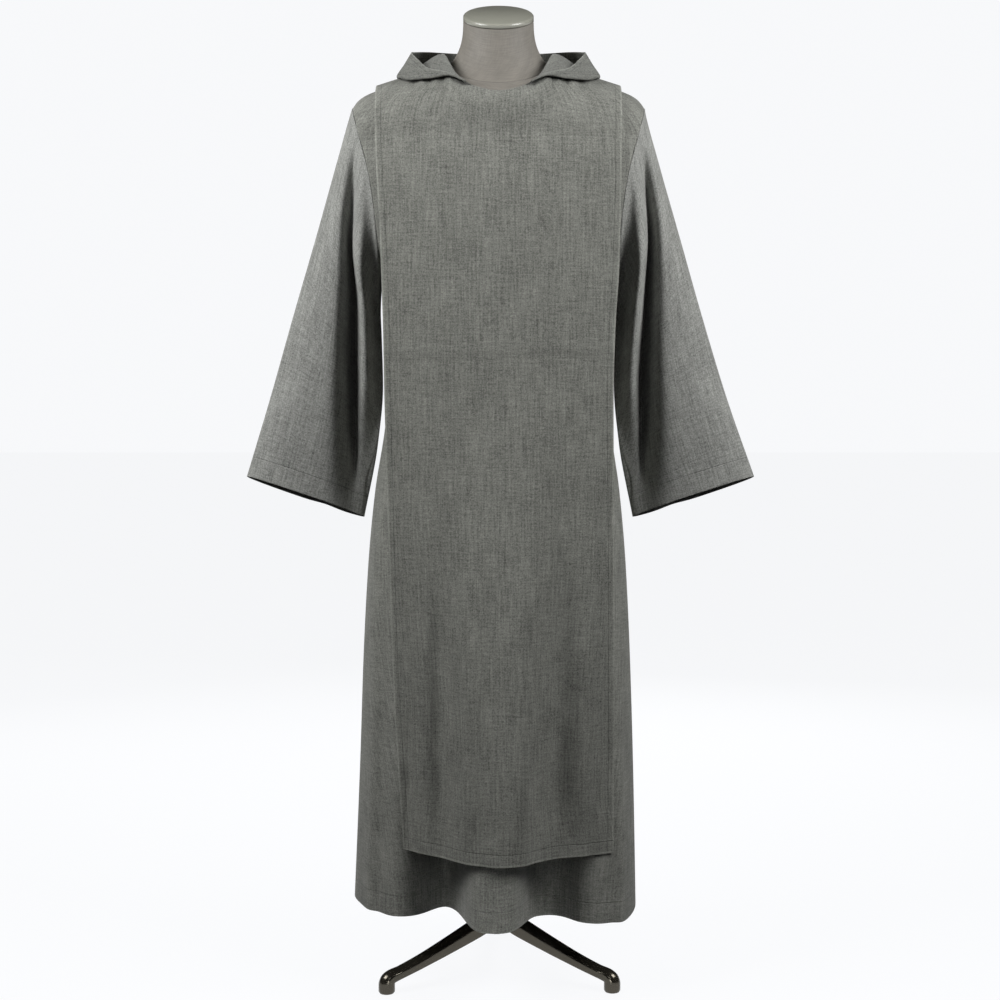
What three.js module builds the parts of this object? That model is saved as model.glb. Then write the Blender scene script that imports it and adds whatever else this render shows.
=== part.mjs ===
// A monk's habit in grey wool, standing on a dress form: a long tunic with wide
// sleeves, and over it a scapular with its hood laid back. The form is a limbless
// torso with a neck and a cap, on a pole with a three-legged metal base.
//
// Millimetres, +Z up. The front faces -Y and the side named left is at -X. Pieces are
// laid out round the pole, and then all moved so that the origin is on the floor in the
// middle of the whole. Every piece of cloth is a closed wall: an outer surface worked
// out on a grid, and an inner surface one cloth's thickness inside it.
import * as THREE from "three";

// ---------------------------------------------------------------- driving sizes

const CLOTH = 1.8; // wall of heavy wool with its nap
const HALF_SEAM = 0.15; // half the gap between two pieces at a seam
const ARMHOLE_GAP = 0.9; // the sleeve starts this far outside the armhole's edge
const EASE = 0.45; // gap between two layers of cloth that lie on each other

const TUNIC_HEM = 135; // height of the tunic's hem above the floor
const HEM_SLOPE = 0.02; // the hem hangs a little lower towards +X
const UNDERARM = 1210; // height where sleeve, front and back meet
const YOKE = 1440; // above this height the cloth rounds over the shoulder
const TIP = 246; // half width at the shoulder tips
const NECK = 88; // half width of the tunic's neckline
const YOKE_HALF = 232; // half width at the yoke

const SCAPULAR_HEM = 246;
const SCAPULAR_TOP = 206; // half the scapular's width on the shoulder

const CAP_TILT = 26; // degrees that the neck's cap leans forward
const FOOT_RADIUS = 220; // from the pole to the middle of each foot
const STAND_TWIST = 1; // degrees that the stand is turned on the floor
const POLE_TO_MIDDLE = 3.5; // the wider right sleeve moves the middle this far from the pole

// ---------------------------------------------------------------- small helpers

const { clamp, lerp, smoothstep } = THREE.MathUtils;
const rad = THREE.MathUtils.degToRad;
const point = (x, y, z) => new THREE.Vector3(x, y, z);

// The shares 0 to 1 in n even steps.
const shares = (n) => Array.from({ length: n + 1 }, (_, i) => i / n);

// A smooth curve through one column of a table whose rows rise in `key`. It is cubic
// between the rows and never overshoots one.
function column(rows, key, name) {
  const xs = rows.map((row) => row[key]);
  const ys = rows.map((row) => row[name]);
  const chords = xs.slice(1).map((x, i) => (ys[i + 1] - ys[i]) / (x - xs[i]));
  const slopes = xs.map((_, i) => {
    const before = chords[i - 1] ?? chords[i];
    const after = chords[i] ?? chords[i - 1];
    return before * after <= 0 ? 0 : (2 * before * after) / (before + after);
  });
  return (at) => {
    const x = clamp(at, xs[0], xs[xs.length - 1]);
    const found = xs.findLastIndex((v, k) => k < xs.length - 1 && v <= x);
    const i = Math.max(0, found);
    const step = xs[i + 1] - xs[i];
    const t = (x - xs[i]) / step;
    const rise = ys[i + 1] - ys[i];
    const start = slopes[i] * step;
    const end = slopes[i + 1] * step;
    return ys[i] + t * (start + t * (3 * rise - 2 * start - end + t * (start + end - 2 * rise)));
  };
}

// Every other column of a table at once, read at a value of `key`.
function reader(rows, key) {
  const names = Object.keys(rows[0]).filter((name) => name !== key);
  const curves = names.map((name) => [name, column(rows, key, name)]);
  return (at) => Object.fromEntries(curves.map(([name, curve]) => [name, curve(at)]));
}

// The larger of two depths, with a soft change from one to the other.
const softMax = (a, b, soft) => (a + b + Math.hypot(a - b, soft)) / 2;

const transpose = (columns) => columns[0].map((_, i) => columns.map((line) => line[i]));

// ---------------------------------------------------------------- closed geometry

// A geometry from points and triangles. Points that coincide are joined. Triangles that
// collapse are dropped, and so is a pair that then lies back to back. The whole is turned
// round if it came out inside out.
function closedGeometry(points, faces) {
  const seen = new Map();
  const kept = [];
  const joined = points.map((p) => {
    const place = p.toArray().map((v) => Math.round(v * 1000)).join();
    if (!seen.has(place)) {
      seen.set(place, kept.length);
      kept.push(p);
    }
    return seen.get(place);
  });
  const triangles = [];
  for (let i = 0; i < faces.length; i += 3) {
    const corners = faces.slice(i, i + 3).map((corner) => joined[corner]);
    if (new Set(corners).size === 3) triangles.push(corners);
  }
  const key = (corners) => [...corners].sort((p, q) => p - q).join();
  const times = new Map();
  triangles.forEach((corners) => times.set(key(corners), (times.get(key(corners)) ?? 0) + 1));
  const index = triangles.filter((corners) => times.get(key(corners)) === 1).flat();
  let volume = 0;
  for (let i = 0; i < index.length; i += 3) {
    const [a, b, c] = index.slice(i, i + 3).map((corner) => kept[corner]);
    volume += a.dot(b.clone().cross(c));
  }
  if (volume < 0) index.reverse();
  const geometry = new THREE.BufferGeometry();
  const positions = kept.flatMap((p) => p.toArray());
  geometry.setAttribute("position", new THREE.Float32BufferAttribute(positions, 3));
  geometry.setIndex(index);
  geometry.computeVertexNormals();
  return geometry;
}

// The direction that a grid of points faces at each of its points.
function gridNormals(grid, closed) {
  const rows = grid.length;
  const cols = grid[0].length;
  const col = (j) => (closed ? (j + cols) % cols : clamp(j, 0, cols - 1));
  const row = (i) => clamp(i, 0, rows - 1);
  return grid.map((line, i) =>
    line.map((_, j) => {
      const down = grid[row(i + 1)][j].clone().sub(grid[row(i - 1)][j]);
      const across = grid[i][col(j + 1)].clone().sub(grid[i][col(j - 1)]);
      return across.cross(down).normalize();
    }),
  );
}

// Two triangles for a quad a, b, c, d, split along its shorter diagonal.
function splitQuad(points, a, b, c, d) {
  const shorter = points[a].distanceTo(points[c]) <= points[b].distanceTo(points[d]) + 1e-6;
  return shorter ? [a, b, c, a, c, d] : [b, c, d, b, d, a];
}

// A closed wall of cloth under a grid of outer points. `turn` is 1 or -1 for the side
// that the outside is on, and `pin` may change a direction so that an edge stays on its
// own side of a seam.
function clothWall(grid, { closed = false, turn = 1, pin = () => {} }) {
  const rows = grid.length;
  const cols = grid[0].length;
  const half = rows * cols;
  const normals = gridNormals(grid, closed);
  const outer = grid.flat();
  const inner = grid.flatMap((line, i) =>
    line.map((p, j) => {
      const n = normals[i][j].multiplyScalar(turn);
      pin(n, i, j, p);
      return p.clone().addScaledVector(n.normalize(), -CLOTH);
    }),
  );
  const at = (i, j) => i * cols + (j % cols);
  const lastCol = closed ? cols : cols - 1;
  const points = [...outer, ...inner];
  const faces = [];
  const quad = (a, b, c, d) => faces.push(...splitQuad(points, a, b, c, d));
  for (let i = 0; i < rows - 1; i++) {
    for (let j = 0; j < lastCol; j++) {
      const [a, b, c, d] = [at(i, j), at(i, j + 1), at(i + 1, j + 1), at(i + 1, j)];
      quad(a, d, c, b);
      quad(a + half, b + half, c + half, d + half);
    }
  }
  for (let j = 0; j < lastCol; j++) {
    const [a, b, c, d] = [at(0, j), at(0, j + 1), at(rows - 1, j), at(rows - 1, j + 1)];
    quad(a, b, b + half, a + half);
    quad(c, c + half, d + half, d);
  }
  for (let i = 0; i < rows - 1 && !closed; i++) {
    const [a, b, c, d] = [at(i, 0), at(i + 1, 0), at(i, cols - 1), at(i + 1, cols - 1)];
    quad(a, a + half, b + half, b);
    quad(c, d, d + half, c + half);
  }
  return closedGeometry(points, faces);
}

// A closed solid through rings of points, with a flat fan on the first and last ring.
function ringSolid(rings) {
  const cols = rings[0].length;
  const points = rings.flat();
  const faces = [];
  for (let i = 0; i < rings.length - 1; i++) {
    for (let j = 0; j < cols; j++) {
      const k = (j + 1) % cols;
      const [a, b, c, d] = [i * cols + j, i * cols + k, (i + 1) * cols + k, (i + 1) * cols + j];
      faces.push(...splitQuad(points, a, b, c, d));
    }
  }
  [0, rings.length - 1].forEach((i) => {
    const middle = rings[i].reduce((sum, p) => sum.add(p), point(0, 0, 0)).divideScalar(cols);
    points.push(middle);
    for (let j = 0; j < cols; j++) {
      const [a, b] = [i * cols + j, i * cols + ((j + 1) % cols)];
      const m = points.length - 1;
      faces.push(...(i === 0 ? [m, b, a] : [m, a, b]));
    }
  });
  return closedGeometry(points, faces);
}

// ---------------------------------------------------------------- materials

const finish = (color, roughness, metalness) =>
  new THREE.MeshStandardMaterial({ color, roughness, metalness });
const tunicWool = finish("#6f706c", 0.95, 0);
const scapularWool = finish("#757671", 0.95, 0);
const linen = finish("#97918a", 0.8, 0);
const capPaint = finish("#8f9085", 0.35, 0.1);
const bronze = finish("#47423a", 0.3, 0.9);

const habit = new THREE.Group();
habit.position.x = -POLE_TO_MIDDLE;
function add(name, geometry, material) {
  const mesh = new THREE.Mesh(geometry, material);
  mesh.name = name;
  habit.add(mesh);
}

// ---------------------------------------------------------------- over the shoulders

// The tunic's shoulder line: steep beside the neck, then an even slope to a round tip.
const shoulderLine = column(
  [
    { x: NECK, z: 1567 },
    { x: 100, z: 1558 },
    { x: 125, z: 1548.5 },
    { x: 170, z: 1534.5 },
    { x: 205, z: 1523 },
    { x: 226, z: 1514 },
    { x: 238, z: 1505 },
    { x: TIP, z: 1494 },
  ],
  "x",
  "z",
);

// Where the columns of points of cloth and form start, from tip to tip: in even turns
// round the neckline, then closer together towards the tips, out to `limit`. All layers
// share these places, so that one lies on the next without cutting through it.
const NECK_STEPS = 6;
const TIP_STEPS = 10;
function topPlaces(limit) {
  const inner = shares(NECK_STEPS).slice(1).map((t) => Math.sin((t * Math.PI) / 2));
  const outer = shares(TIP_STEPS).slice(1).map((t) => lerp(1, TIP / NECK, 1 - (1 - t) ** 1.5));
  const right = [...inner, ...outer].map((x) => x * NECK).filter((x) => x <= limit + 0.5);
  return [...right.map((x) => -x).reverse(), 0, ...right];
}

// A layer's top at a place: on the oval at the base of the neck in the middle, and on the
// shoulder line raised by `lift` outside it. `face` is -1 for the front and 1 for the back.
function topPoint(size, face, x) {
  const far = Math.abs(x);
  if (far >= NECK - 1e-6) {
    return point(x, face * size.seam, shoulderLine(far) + lerp(size.lift, size.tipLift, far / TIP));
  }
  const c = Math.sqrt(1 - (x / NECK) ** 2);
  const [depth, low] = face < 0 ? [size.front, size.frontZ] : [size.back, size.backZ];
  return point(x, face * (size.seam + depth * c), lerp(shoulderLine(NECK) + size.lift, low, c ** 1.3));
}

// A quarter of an oval from a layer's top down to its yoke. In the middle it starts part
// of the way down, at the neckline.
const SHOULDER_STEPS = 4;
function overShoulder(size, face, x, yoke) {
  const top = topPoint(size, face, x);
  const c = Math.sqrt(Math.max(0, 1 - (x / NECK) ** 2));
  const start = (face < 0 ? size.frontStart : size.backStart) * c ** 0.7;
  return shares(SHOULDER_STEPS).map((t) => {
    const turn = (lerp(start, 1, t) * Math.PI) / 2;
    return point(
      lerp(top.x, yoke.x, 1 - Math.cos(turn)),
      lerp(top.y, yoke.y, Math.sin(turn)),
      lerp(yoke.z, top.z, Math.cos(turn)),
    );
  });
}

// The share of the half width, -1 to 1, at which the column from a top place hangs.
const hangShare = (topX) => (topX / TIP) * (1.061 - 0.061 * (topX / TIP) ** 2);

// ---------------------------------------------------------------- tunic, front and back

// Level sections of the tunic. `left` and `right` are half widths; `edge` is how far the
// panel's edge stands from the side seam's plane, which above the underarm is the depth of
// the armhole; `front` and `back` are depths at the middle; a higher `box` makes a squarer
// section, and lower `ends` make its ends rounder.
const TUNIC_SECTIONS = [
  { z: 125, left: 250, right: 237, edge: HALF_SEAM, front: 152, back: 160, box: 2.3, ends: 0.45 },
  { z: 373, left: 239, right: 232, edge: HALF_SEAM, front: 152, back: 156, box: 2.3, ends: 0.45 },
  { z: 566, left: 232, right: 226, edge: HALF_SEAM, front: 150, back: 150, box: 2.3, ends: 0.45 },
  { z: 723, left: 223, right: 218, edge: HALF_SEAM, front: 148, back: 144, box: 2.4, ends: 0.45 },
  { z: 844, left: 211, right: 207, edge: HALF_SEAM, front: 144, back: 138, box: 2.5, ends: 0.45 },
  { z: 950, left: 194, right: 192, edge: HALF_SEAM, front: 140, back: 132, box: 2.6, ends: 0.45 },
  { z: 1030, left: 186, right: 186, edge: HALF_SEAM, front: 138, back: 127, box: 2.7, ends: 0.45 },
  { z: 1120, left: 188, right: 188, edge: HALF_SEAM, front: 138, back: 124, box: 2.9, ends: 0.5 },
  { z: UNDERARM, left: 198, right: 198, edge: HALF_SEAM, front: 138, back: 123, box: 3.2, ends: 0.8 },
  { z: 1226, left: 199, right: 199, edge: 40, front: 138, back: 123, box: 3.0, ends: 1 },
  { z: 1262, left: 201, right: 201, edge: 74, front: 136, back: 122, box: 2.7, ends: 1 },
  { z: 1330, left: 207, right: 207, edge: 95, front: 132, back: 121, box: 2.4, ends: 1 },
  { z: 1390, left: 218, right: 218, edge: 92, front: 124, back: 118, box: 2.3, ends: 1 },
  { z: YOKE, left: YOKE_HALF, right: YOKE_HALF, edge: 74, front: 114, back: 112, box: 2.3, ends: 1 },
];
const tunicSection = reader(TUNIC_SECTIONS, "z");

// The folds of the skirt. `topAt` and `hemAt` place the fold's middle where it starts and
// at the hem, as shares of the half width; `out` is how far it stands out at the hem, or
// in if negative; `wide` is its half width; `top` is the height where it starts; a higher
// `crisp` gives steeper sides.
const SKIRT_FOLDS = {
  front: [
    { topAt: -0.05, hemAt: -0.03, out: 72, wide: 47, top: 900, crisp: 4 },
    { topAt: -0.42, hemAt: -0.36, out: -70, wide: 36, top: 860, crisp: 2 },
    { topAt: 0.36, hemAt: 0.36, out: -34, wide: 50, top: 840, crisp: 2 },
    { topAt: -0.72, hemAt: -0.74, out: 24, wide: 40, top: 900, crisp: 2 },
    { topAt: 0.78, hemAt: 0.72, out: 46, wide: 44, top: 880, crisp: 2 },
    { topAt: 0.9, hemAt: 0.93, out: 56, wide: 30, top: 700, crisp: 2 },
  ],
  back: [
    { topAt: -0.05, hemAt: -0.12, out: 48, wide: 52, top: 880, crisp: 3 },
    { topAt: 0.2, hemAt: 0.27, out: -46, wide: 38, top: 820, crisp: 2 },
    { topAt: -0.4, hemAt: -0.48, out: -50, wide: 40, top: 840, crisp: 2 },
    { topAt: 0.5, hemAt: 0.6, out: 38, wide: 44, top: 900, crisp: 2 },
    { topAt: -0.74, hemAt: -0.8, out: 26, wide: 38, top: 860, crisp: 2 },
  ],
};

// How far a panel's folds stand out at a share of its half width and a height.
function foldOut(folds, share, halfWidth, z) {
  return folds.reduce((sum, fold) => {
    const grown = smoothstep(fold.top - z, 0, fold.top - TUNIC_HEM);
    const middle = lerp(fold.topAt, fold.hemAt, grown);
    const away = Math.abs((share - middle) * halfWidth) / fold.wide;
    return sum + fold.out * grown ** 1.15 * Math.exp(-(away ** fold.crisp));
  }, 0);
}

function tunicLevel(face, share, z) {
  const s = tunicSection(z);
  const halfWidth = share < 0 ? s.left : s.right;
  const bow = Math.max(0, 1 - Math.abs(share) ** s.box) ** s.ends;
  const middle = face < 0 ? s.front : s.back;
  const folds = face < 0 ? SKIRT_FOLDS.front : SKIRT_FOLDS.back;
  const out = foldOut(folds, share, halfWidth, z) * Math.sqrt(bow);
  return point(share * halfWidth, face * (lerp(s.edge, middle, bow) + out), z);
}

// How far the tunic stands in front of, or behind, the middle at x and a height.
function tunicDepth(face, x, z) {
  const s = tunicSection(z);
  const share = clamp(x / (x < 0 ? s.left : s.right), -1, 1);
  return Math.abs(tunicLevel(face, share, z).y);
}

const TUNIC_TOP = {
  seam: HALF_SEAM,
  lift: 0,
  tipLift: 0,
  front: 82.5,
  frontZ: 1527.5,
  frontStart: 0.545,
  back: 84.5,
  backZ: 1547.5,
  backStart: 0.36,
};
const ARMHOLE_HEIGHTS = [1412, 1372, 1330, 1290, 1255, 1228, UNDERARM];
const SKIRT_HEIGHTS = [1130, 1030, 910, 780, 640, 500, 370, 250, TUNIC_HEM];

function tunicColumn(face, topX) {
  const share = hangShare(topX);
  const shoulder = overShoulder(TUNIC_TOP, face, topX, tunicLevel(face, share, YOKE));
  const levels = [...ARMHOLE_HEIGHTS, ...SKIRT_HEIGHTS].map((z) => {
    const p = tunicLevel(face, share, z);
    p.z -= HEM_SLOPE * p.x * smoothstep(-z, -900, -TUNIC_HEM);
    return p;
  });
  return [...shoulder, ...levels];
}

// Keeps a wall's edges on their own side of the shoulder seam and of the side seams.
const pinAtSeams = (hasSides) => (n, i, j, p) => {
  const onShoulder = i === 0 && Math.abs(p.x) >= NECK - 1e-6;
  const onSide = hasSides && Math.abs(p.y) < HALF_SEAM + 1e-6;
  if (onShoulder || onSide) n.y = 0;
};

const FACES = [
  ["front", -1],
  ["back", 1],
];
FACES.forEach(([name, face]) => {
  const grid = transpose(topPlaces(TIP).map((x) => tunicColumn(face, x)));
  add(`tunic_${name}`, clothWall(grid, { turn: face, pin: pinAtSeams(true) }), tunicWool);
});

// ---------------------------------------------------------------- sleeves

// A sleeve laid out by its two edges, from the armhole (along 0) to the cuff (along 1):
// the outer edge over the arm, the inner edge under it, and the depths of its layers.
const SLEEVE_SECTIONS = [
  { along: 0, outLeft: 246, outRight: 246, outZ: 1494, inX: 198, inZ: 1210, front: 96, back: 90 },
  { along: 0.06, outLeft: 257, outRight: 252, outZ: 1462, inX: 202, inZ: 1190, front: 88, back: 84 },
  { along: 0.15, outLeft: 279, outRight: 276, outZ: 1385, inX: 204, inZ: 1160, front: 74, back: 74 },
  { along: 0.3, outLeft: 309, outRight: 307, outZ: 1281, inX: 202, inZ: 1105, front: 62, back: 64 },
  { along: 0.5, outLeft: 349, outRight: 346, outZ: 1147, inX: 200, inZ: 1025, front: 52, back: 54 },
  { along: 0.75, outLeft: 391, outRight: 391, outZ: 1002, inX: 209, inZ: 925, front: 44, back: 46 },
  { along: 1, outLeft: 432.5, outRight: 439.5, outZ: 867, inX: 233, inZ: 799, front: 36, back: 38 },
];
const sleeveSection = reader(SLEEVE_SECTIONS, "along");
const CUFF_LEAN = 0.19; // the cuff's front is higher than its back by this slope

// The long folds that hang from the shoulder tip down a sleeve's front. `at` is the fold's
// middle from 0 at the outer edge to 1 at the inner; `out` stands out, or in if negative.
const SLEEVE_FOLDS = {
  left: [
    [
      { along: 0.04, at: 0.16, out: 0, wide: 0.14 },
      { along: 0.15, at: 0.32, out: -24, wide: 0.15 },
      { along: 0.3, at: 0.53, out: -52, wide: 0.15 },
      { along: 0.5, at: 0.65, out: -62, wide: 0.14 },
      { along: 0.75, at: 0.79, out: -46, wide: 0.13 },
      { along: 1, at: 0.92, out: -8, wide: 0.12 },
    ],
    [
      { along: 0.04, at: 0.4, out: 0, wide: 0.13 },
      { along: 0.15, at: 0.6, out: 8, wide: 0.13 },
      { along: 0.3, at: 0.82, out: 16, wide: 0.12 },
      { along: 0.5, at: 0.89, out: 18, wide: 0.1 },
      { along: 0.75, at: 0.93, out: 12, wide: 0.1 },
      { along: 1, at: 0.97, out: 0, wide: 0.1 },
    ],
  ],
  right: [
    [
      { along: 0.04, at: 0.16, out: 0, wide: 0.14 },
      { along: 0.15, at: 0.3, out: -26, wide: 0.14 },
      { along: 0.3, at: 0.51, out: -52, wide: 0.15 },
      { along: 0.5, at: 0.67, out: -64, wide: 0.14 },
      { along: 0.75, at: 0.8, out: -50, wide: 0.13 },
      { along: 1, at: 0.93, out: -8, wide: 0.12 },
    ],
    [
      { along: 0.04, at: 0.38, out: 0, wide: 0.12 },
      { along: 0.15, at: 0.54, out: 12, wide: 0.12 },
      { along: 0.3, at: 0.77, out: 20, wide: 0.12 },
      { along: 0.5, at: 0.89, out: 20, wide: 0.1 },
      { along: 0.75, at: 0.94, out: 12, wide: 0.1 },
      { along: 1, at: 0.97, out: 0, wide: 0.1 },
    ],
  ],
};
const SLEEVE_ROWS = [0, 0.04, 0.09, 0.16, 0.25, 0.36, 0.48, 0.61, 0.74, 0.87, 1];
const ARMHOLE_STEPS = SHOULDER_STEPS + ARMHOLE_HEIGHTS.length;

// The armhole from the shoulder tip down its front to the underarm and up its back. The
// front has a point between every two of the tunic's, because its folds need them.
function armholeLoop(side) {
  const front = tunicColumn(-1, side * TIP).slice(0, ARMHOLE_STEPS + 1);
  const back = tunicColumn(1, side * TIP).slice(1, ARMHOLE_STEPS);
  const finer = front.slice(1).flatMap((p, k) => [front[k].clone().lerp(p, 0.5), p]);
  return [front[0], ...finer, ...back.reverse()];
}

// A section of the sleeve: an oval round the line from its outer to its inner edge. The
// turn runs over the front in half steps, then over the back in whole ones, and the
// front's points drift across with the first fold.
const SLEEVE_TURNS = [
  ...shares(2 * ARMHOLE_STEPS).map((t) => t * Math.PI),
  ...shares(ARMHOLE_STEPS).slice(1, -1).map((t) => (1 + t) * Math.PI),
];
function sleeveLoop(side, along) {
  const s = sleeveSection(along);
  const folds = SLEEVE_FOLDS[side < 0 ? "left" : "right"].map((rows) => reader(rows, "along")(along));
  const lean = CUFF_LEAN * smoothstep(along, 0.2, 1);
  const outX = side < 0 ? s.outLeft : s.outRight;
  const drift = clamp(folds[0].at - 0.5, -0.2, 0.2) * smoothstep(along, 0.1, 0.3);
  return SLEEVE_TURNS.map((turn) => {
    const even = (1 - Math.cos(turn)) / 2;
    const across = turn < Math.PI ? even + drift * 4 * even * (1 - even) : even;
    const bow = (4 * across * (1 - across)) ** 0.4;
    const out = folds.reduce((sum, f) => sum + f.out * Math.exp(-(((across - f.at) / f.wide) ** 2)), 0);
    const y = turn < Math.PI ? -(s.front + out) * bow : s.back * bow;
    return point(side * lerp(outX, s.inX, across), y, lerp(s.outZ, s.inZ, across) - lean * y);
  });
}

[
  ["left", -1],
  ["right", 1],
].forEach(([name, side]) => {
  const armhole = armholeLoop(side).map((p) => p.setX(p.x + side * ARMHOLE_GAP));
  const grid = SLEEVE_ROWS.map((along) => {
    const share = smoothstep(along, 0, 0.2);
    return sleeveLoop(side, along).map((p, k) => armhole[k].clone().lerp(p, share));
  });
  const pin = (n, i) => {
    if (i === 0 && n.x * side > 0) n.x = 0;
  };
  add(`sleeve_${name}`, clothWall(grid, { closed: true, turn: side, pin }), tunicWool);
});

// ---------------------------------------------------------------- scapular, front and back

// The scapular by height: its half widths, and its depth at the edges and in the middle.
const SCAPULAR_FRONT = [
  { z: 246, left: 158, right: 191, leftEdge: 120, rightEdge: 140, middle: 233.8 },
  { z: 498, left: 173, right: 192, leftEdge: 117, rightEdge: 132, middle: 206 },
  { z: 701, left: 180, right: 192, leftEdge: 116, rightEdge: 124, middle: 180 },
  { z: 850, left: 184, right: 191, leftEdge: 116, rightEdge: 118, middle: 160 },
  { z: 1000, left: 188, right: 190, leftEdge: 118, rightEdge: 118, middle: 147 },
  { z: 1120, left: 190, right: 193, leftEdge: 118, rightEdge: 114, middle: 143 },
  { z: 1215, left: 193, right: 199, leftEdge: 116, rightEdge: 110, middle: 141 },
  { z: 1330, left: 198, right: 202, leftEdge: 109, rightEdge: 106, middle: 136 },
  { z: 1388, left: 202, right: 203, leftEdge: 104, rightEdge: 103, middle: 128 },
  { z: YOKE, left: 204, right: 204, leftEdge: 92, rightEdge: 92, middle: 117 },
];
const SCAPULAR_BACK = [
  { z: 246, left: 176, right: 170, leftEdge: 142, rightEdge: 146, middle: 214 },
  { z: 498, left: 180, right: 174, leftEdge: 134, rightEdge: 138, middle: 190 },
  { z: 701, left: 184, right: 180, leftEdge: 126, rightEdge: 128, middle: 168 },
  { z: 850, left: 188, right: 186, leftEdge: 118, rightEdge: 118, middle: 152 },
  { z: 1000, left: 192, right: 191, leftEdge: 112, rightEdge: 112, middle: 138 },
  { z: 1166, left: 200, right: 200, leftEdge: 106, rightEdge: 106, middle: 129 },
  { z: 1330, left: 205, right: 205, leftEdge: 101, rightEdge: 101, middle: 125 },
  { z: 1388, left: 205, right: 205, leftEdge: 100, rightEdge: 100, middle: 122 },
  { z: YOKE, left: 204, right: 204, leftEdge: 90, rightEdge: 90, middle: 115 },
];
// The shape across: how far from edge depth (0) to middle depth (1), low down and high up.
const SCAPULAR_ACROSS = {
  front: [
    { across: -1, low: 0, high: 0 },
    { across: -0.79, low: 0.25, high: 0.45 },
    { across: -0.48, low: 0.6, high: 0.83 },
    { across: -0.18, low: 0.87, high: 0.98 },
    { across: 0, low: 1, high: 1 },
    { across: 0.2, low: 0.86, high: 0.98 },
    { across: 0.37, low: 0.6, high: 0.9 },
    { across: 0.62, low: 0.36, high: 0.68 },
    { across: 1, low: 0, high: 0 },
  ],
  back: [
    { across: -1, low: 0, high: 0 },
    { across: -0.55, low: 0.4, high: 0.78 },
    { across: -0.12, low: 1, high: 1 },
    { across: 0.35, low: 0.5, high: 0.92 },
    { across: 0.65, low: 0.55, high: 0.6 },
    { across: 1, low: 0, high: 0 },
  ],
};
const SCAPULAR_TOPS = {
  seam: HALF_SEAM,
  lift: 3.2,
  tipLift: 10.5,
  front: 85.5,
  frontZ: 1531,
  frontStart: 0.49,
  back: 87.5,
  backZ: 1551,
  backStart: 0.33,
};
const SCAPULAR_HEIGHTS = [1390, 1330, 1250, 1150, 1040, 920, 800, 680, 560, 440, 340, SCAPULAR_HEM];
const scapularRows = {
  front: reader(SCAPULAR_FRONT, "z"),
  back: reader(SCAPULAR_BACK, "z"),
};
const scapularAcross = {
  front: reader(SCAPULAR_ACROSS.front, "across"),
  back: reader(SCAPULAR_ACROSS.back, "across"),
};

function scapularLevel(name, face, share, z) {
  const s = scapularRows[name](z);
  const x = share * (share < 0 ? s.left : s.right);
  const shape = scapularAcross[name](share);
  const bow = lerp(shape.low, shape.high, smoothstep(z, SCAPULAR_HEM, 1000));
  const own = lerp(share < 0 ? s.leftEdge : s.rightEdge, s.middle, bow);
  const under = tunicDepth(face, x, z) + CLOTH + lerp(1.4, EASE, smoothstep(z, 900, 1300));
  return point(x, face * softMax(own, under, 1.6), z);
}

function scapularColumn(name, face, topX) {
  const share = hangShare(topX) / hangShare(SCAPULAR_TOP);
  const yoke = scapularLevel(name, face, share, YOKE);
  const levels = SCAPULAR_HEIGHTS.map((z) => scapularLevel(name, face, share, z));
  return [...overShoulder(SCAPULAR_TOPS, face, topX, yoke), ...levels];
}

FACES.forEach(([name, face]) => {
  const grid = transpose(topPlaces(SCAPULAR_TOP).map((x) => scapularColumn(name, face, x)));
  add(`scapular_${name}`, clothWall(grid, { turn: face, pin: pinAtSeams(false) }), scapularWool);
});

// ---------------------------------------------------------------- hood

// The hood laid back, as stations round the neck from its front end (at 0) to the middle
// of the back (at 1). Each station is a W: up from the neck seam to a ridge, down into the
// hood's hollow, and up again to the rim of the face opening. `seamTurn` is the station's
// place on the neckline in degrees from the front; the rest are places on one side.
const HOOD_STATIONS = [
  { at: 0, seamTurn: 38, rx: 60, ry: -98.2, rz: 1526.4, bx: 63, by: -99.6, bz: 1529.4, ox: 66, oy: -97.2, oz: 1532.1 },
  { at: 0.1, seamTurn: 48, rx: 72, ry: -79, rz: 1542.8, bx: 84, by: -93.6, bz: 1535, ox: 89, oy: -88, oz: 1541 },
  { at: 0.2, seamTurn: 59, rx: 82, ry: -52, rz: 1563, bx: 112, by: -84, bz: 1532, ox: 116, oy: -72, oz: 1550 },
  { at: 0.31, seamTurn: 74, rx: 92, ry: -24, rz: 1583, bx: 144, by: -73, bz: 1531, ox: 136, oy: -42, oz: 1571 },
  { at: 0.43, seamTurn: 90, rx: 98, ry: 2, rz: 1586, bx: 169, by: -47, bz: 1540, ox: 147, oy: -6, oz: 1588 },
  { at: 0.56, seamTurn: 106, rx: 96, ry: 32, rz: 1587, bx: 171, by: 22, bz: 1545.5, ox: 145, oy: 36, oz: 1596 },
  { at: 0.72, seamTurn: 130, rx: 82, ry: 66, rz: 1584, bx: 134, by: 114, bz: 1470, ox: 116, oy: 88, oz: 1606 },
  { at: 0.87, seamTurn: 155, rx: 48, ry: 98, rz: 1578, bx: 70, by: 158, bz: 1370, ox: 64, oy: 128, oz: 1611 },
  { at: 1, seamTurn: 180, rx: 0, ry: 110, rz: 1574, bx: 0, by: 176, bz: 1320, ox: 0, oy: 140, oz: 1612 },
];
const hoodStation = reader(HOOD_STATIONS, "at");
const HOOD_ROWS = 16;
const HOOD_COLS = 14;

// The scapular's neckline on one side, in even turns from the front to the back.
const neckline = shares(2 * NECK_STEPS).map((t) => {
  const [name, face] = FACES[t <= 0.5 ? 0 : 1];
  return scapularColumn(name, face, NECK * Math.sin(Math.PI * t))[0];
});

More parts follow.
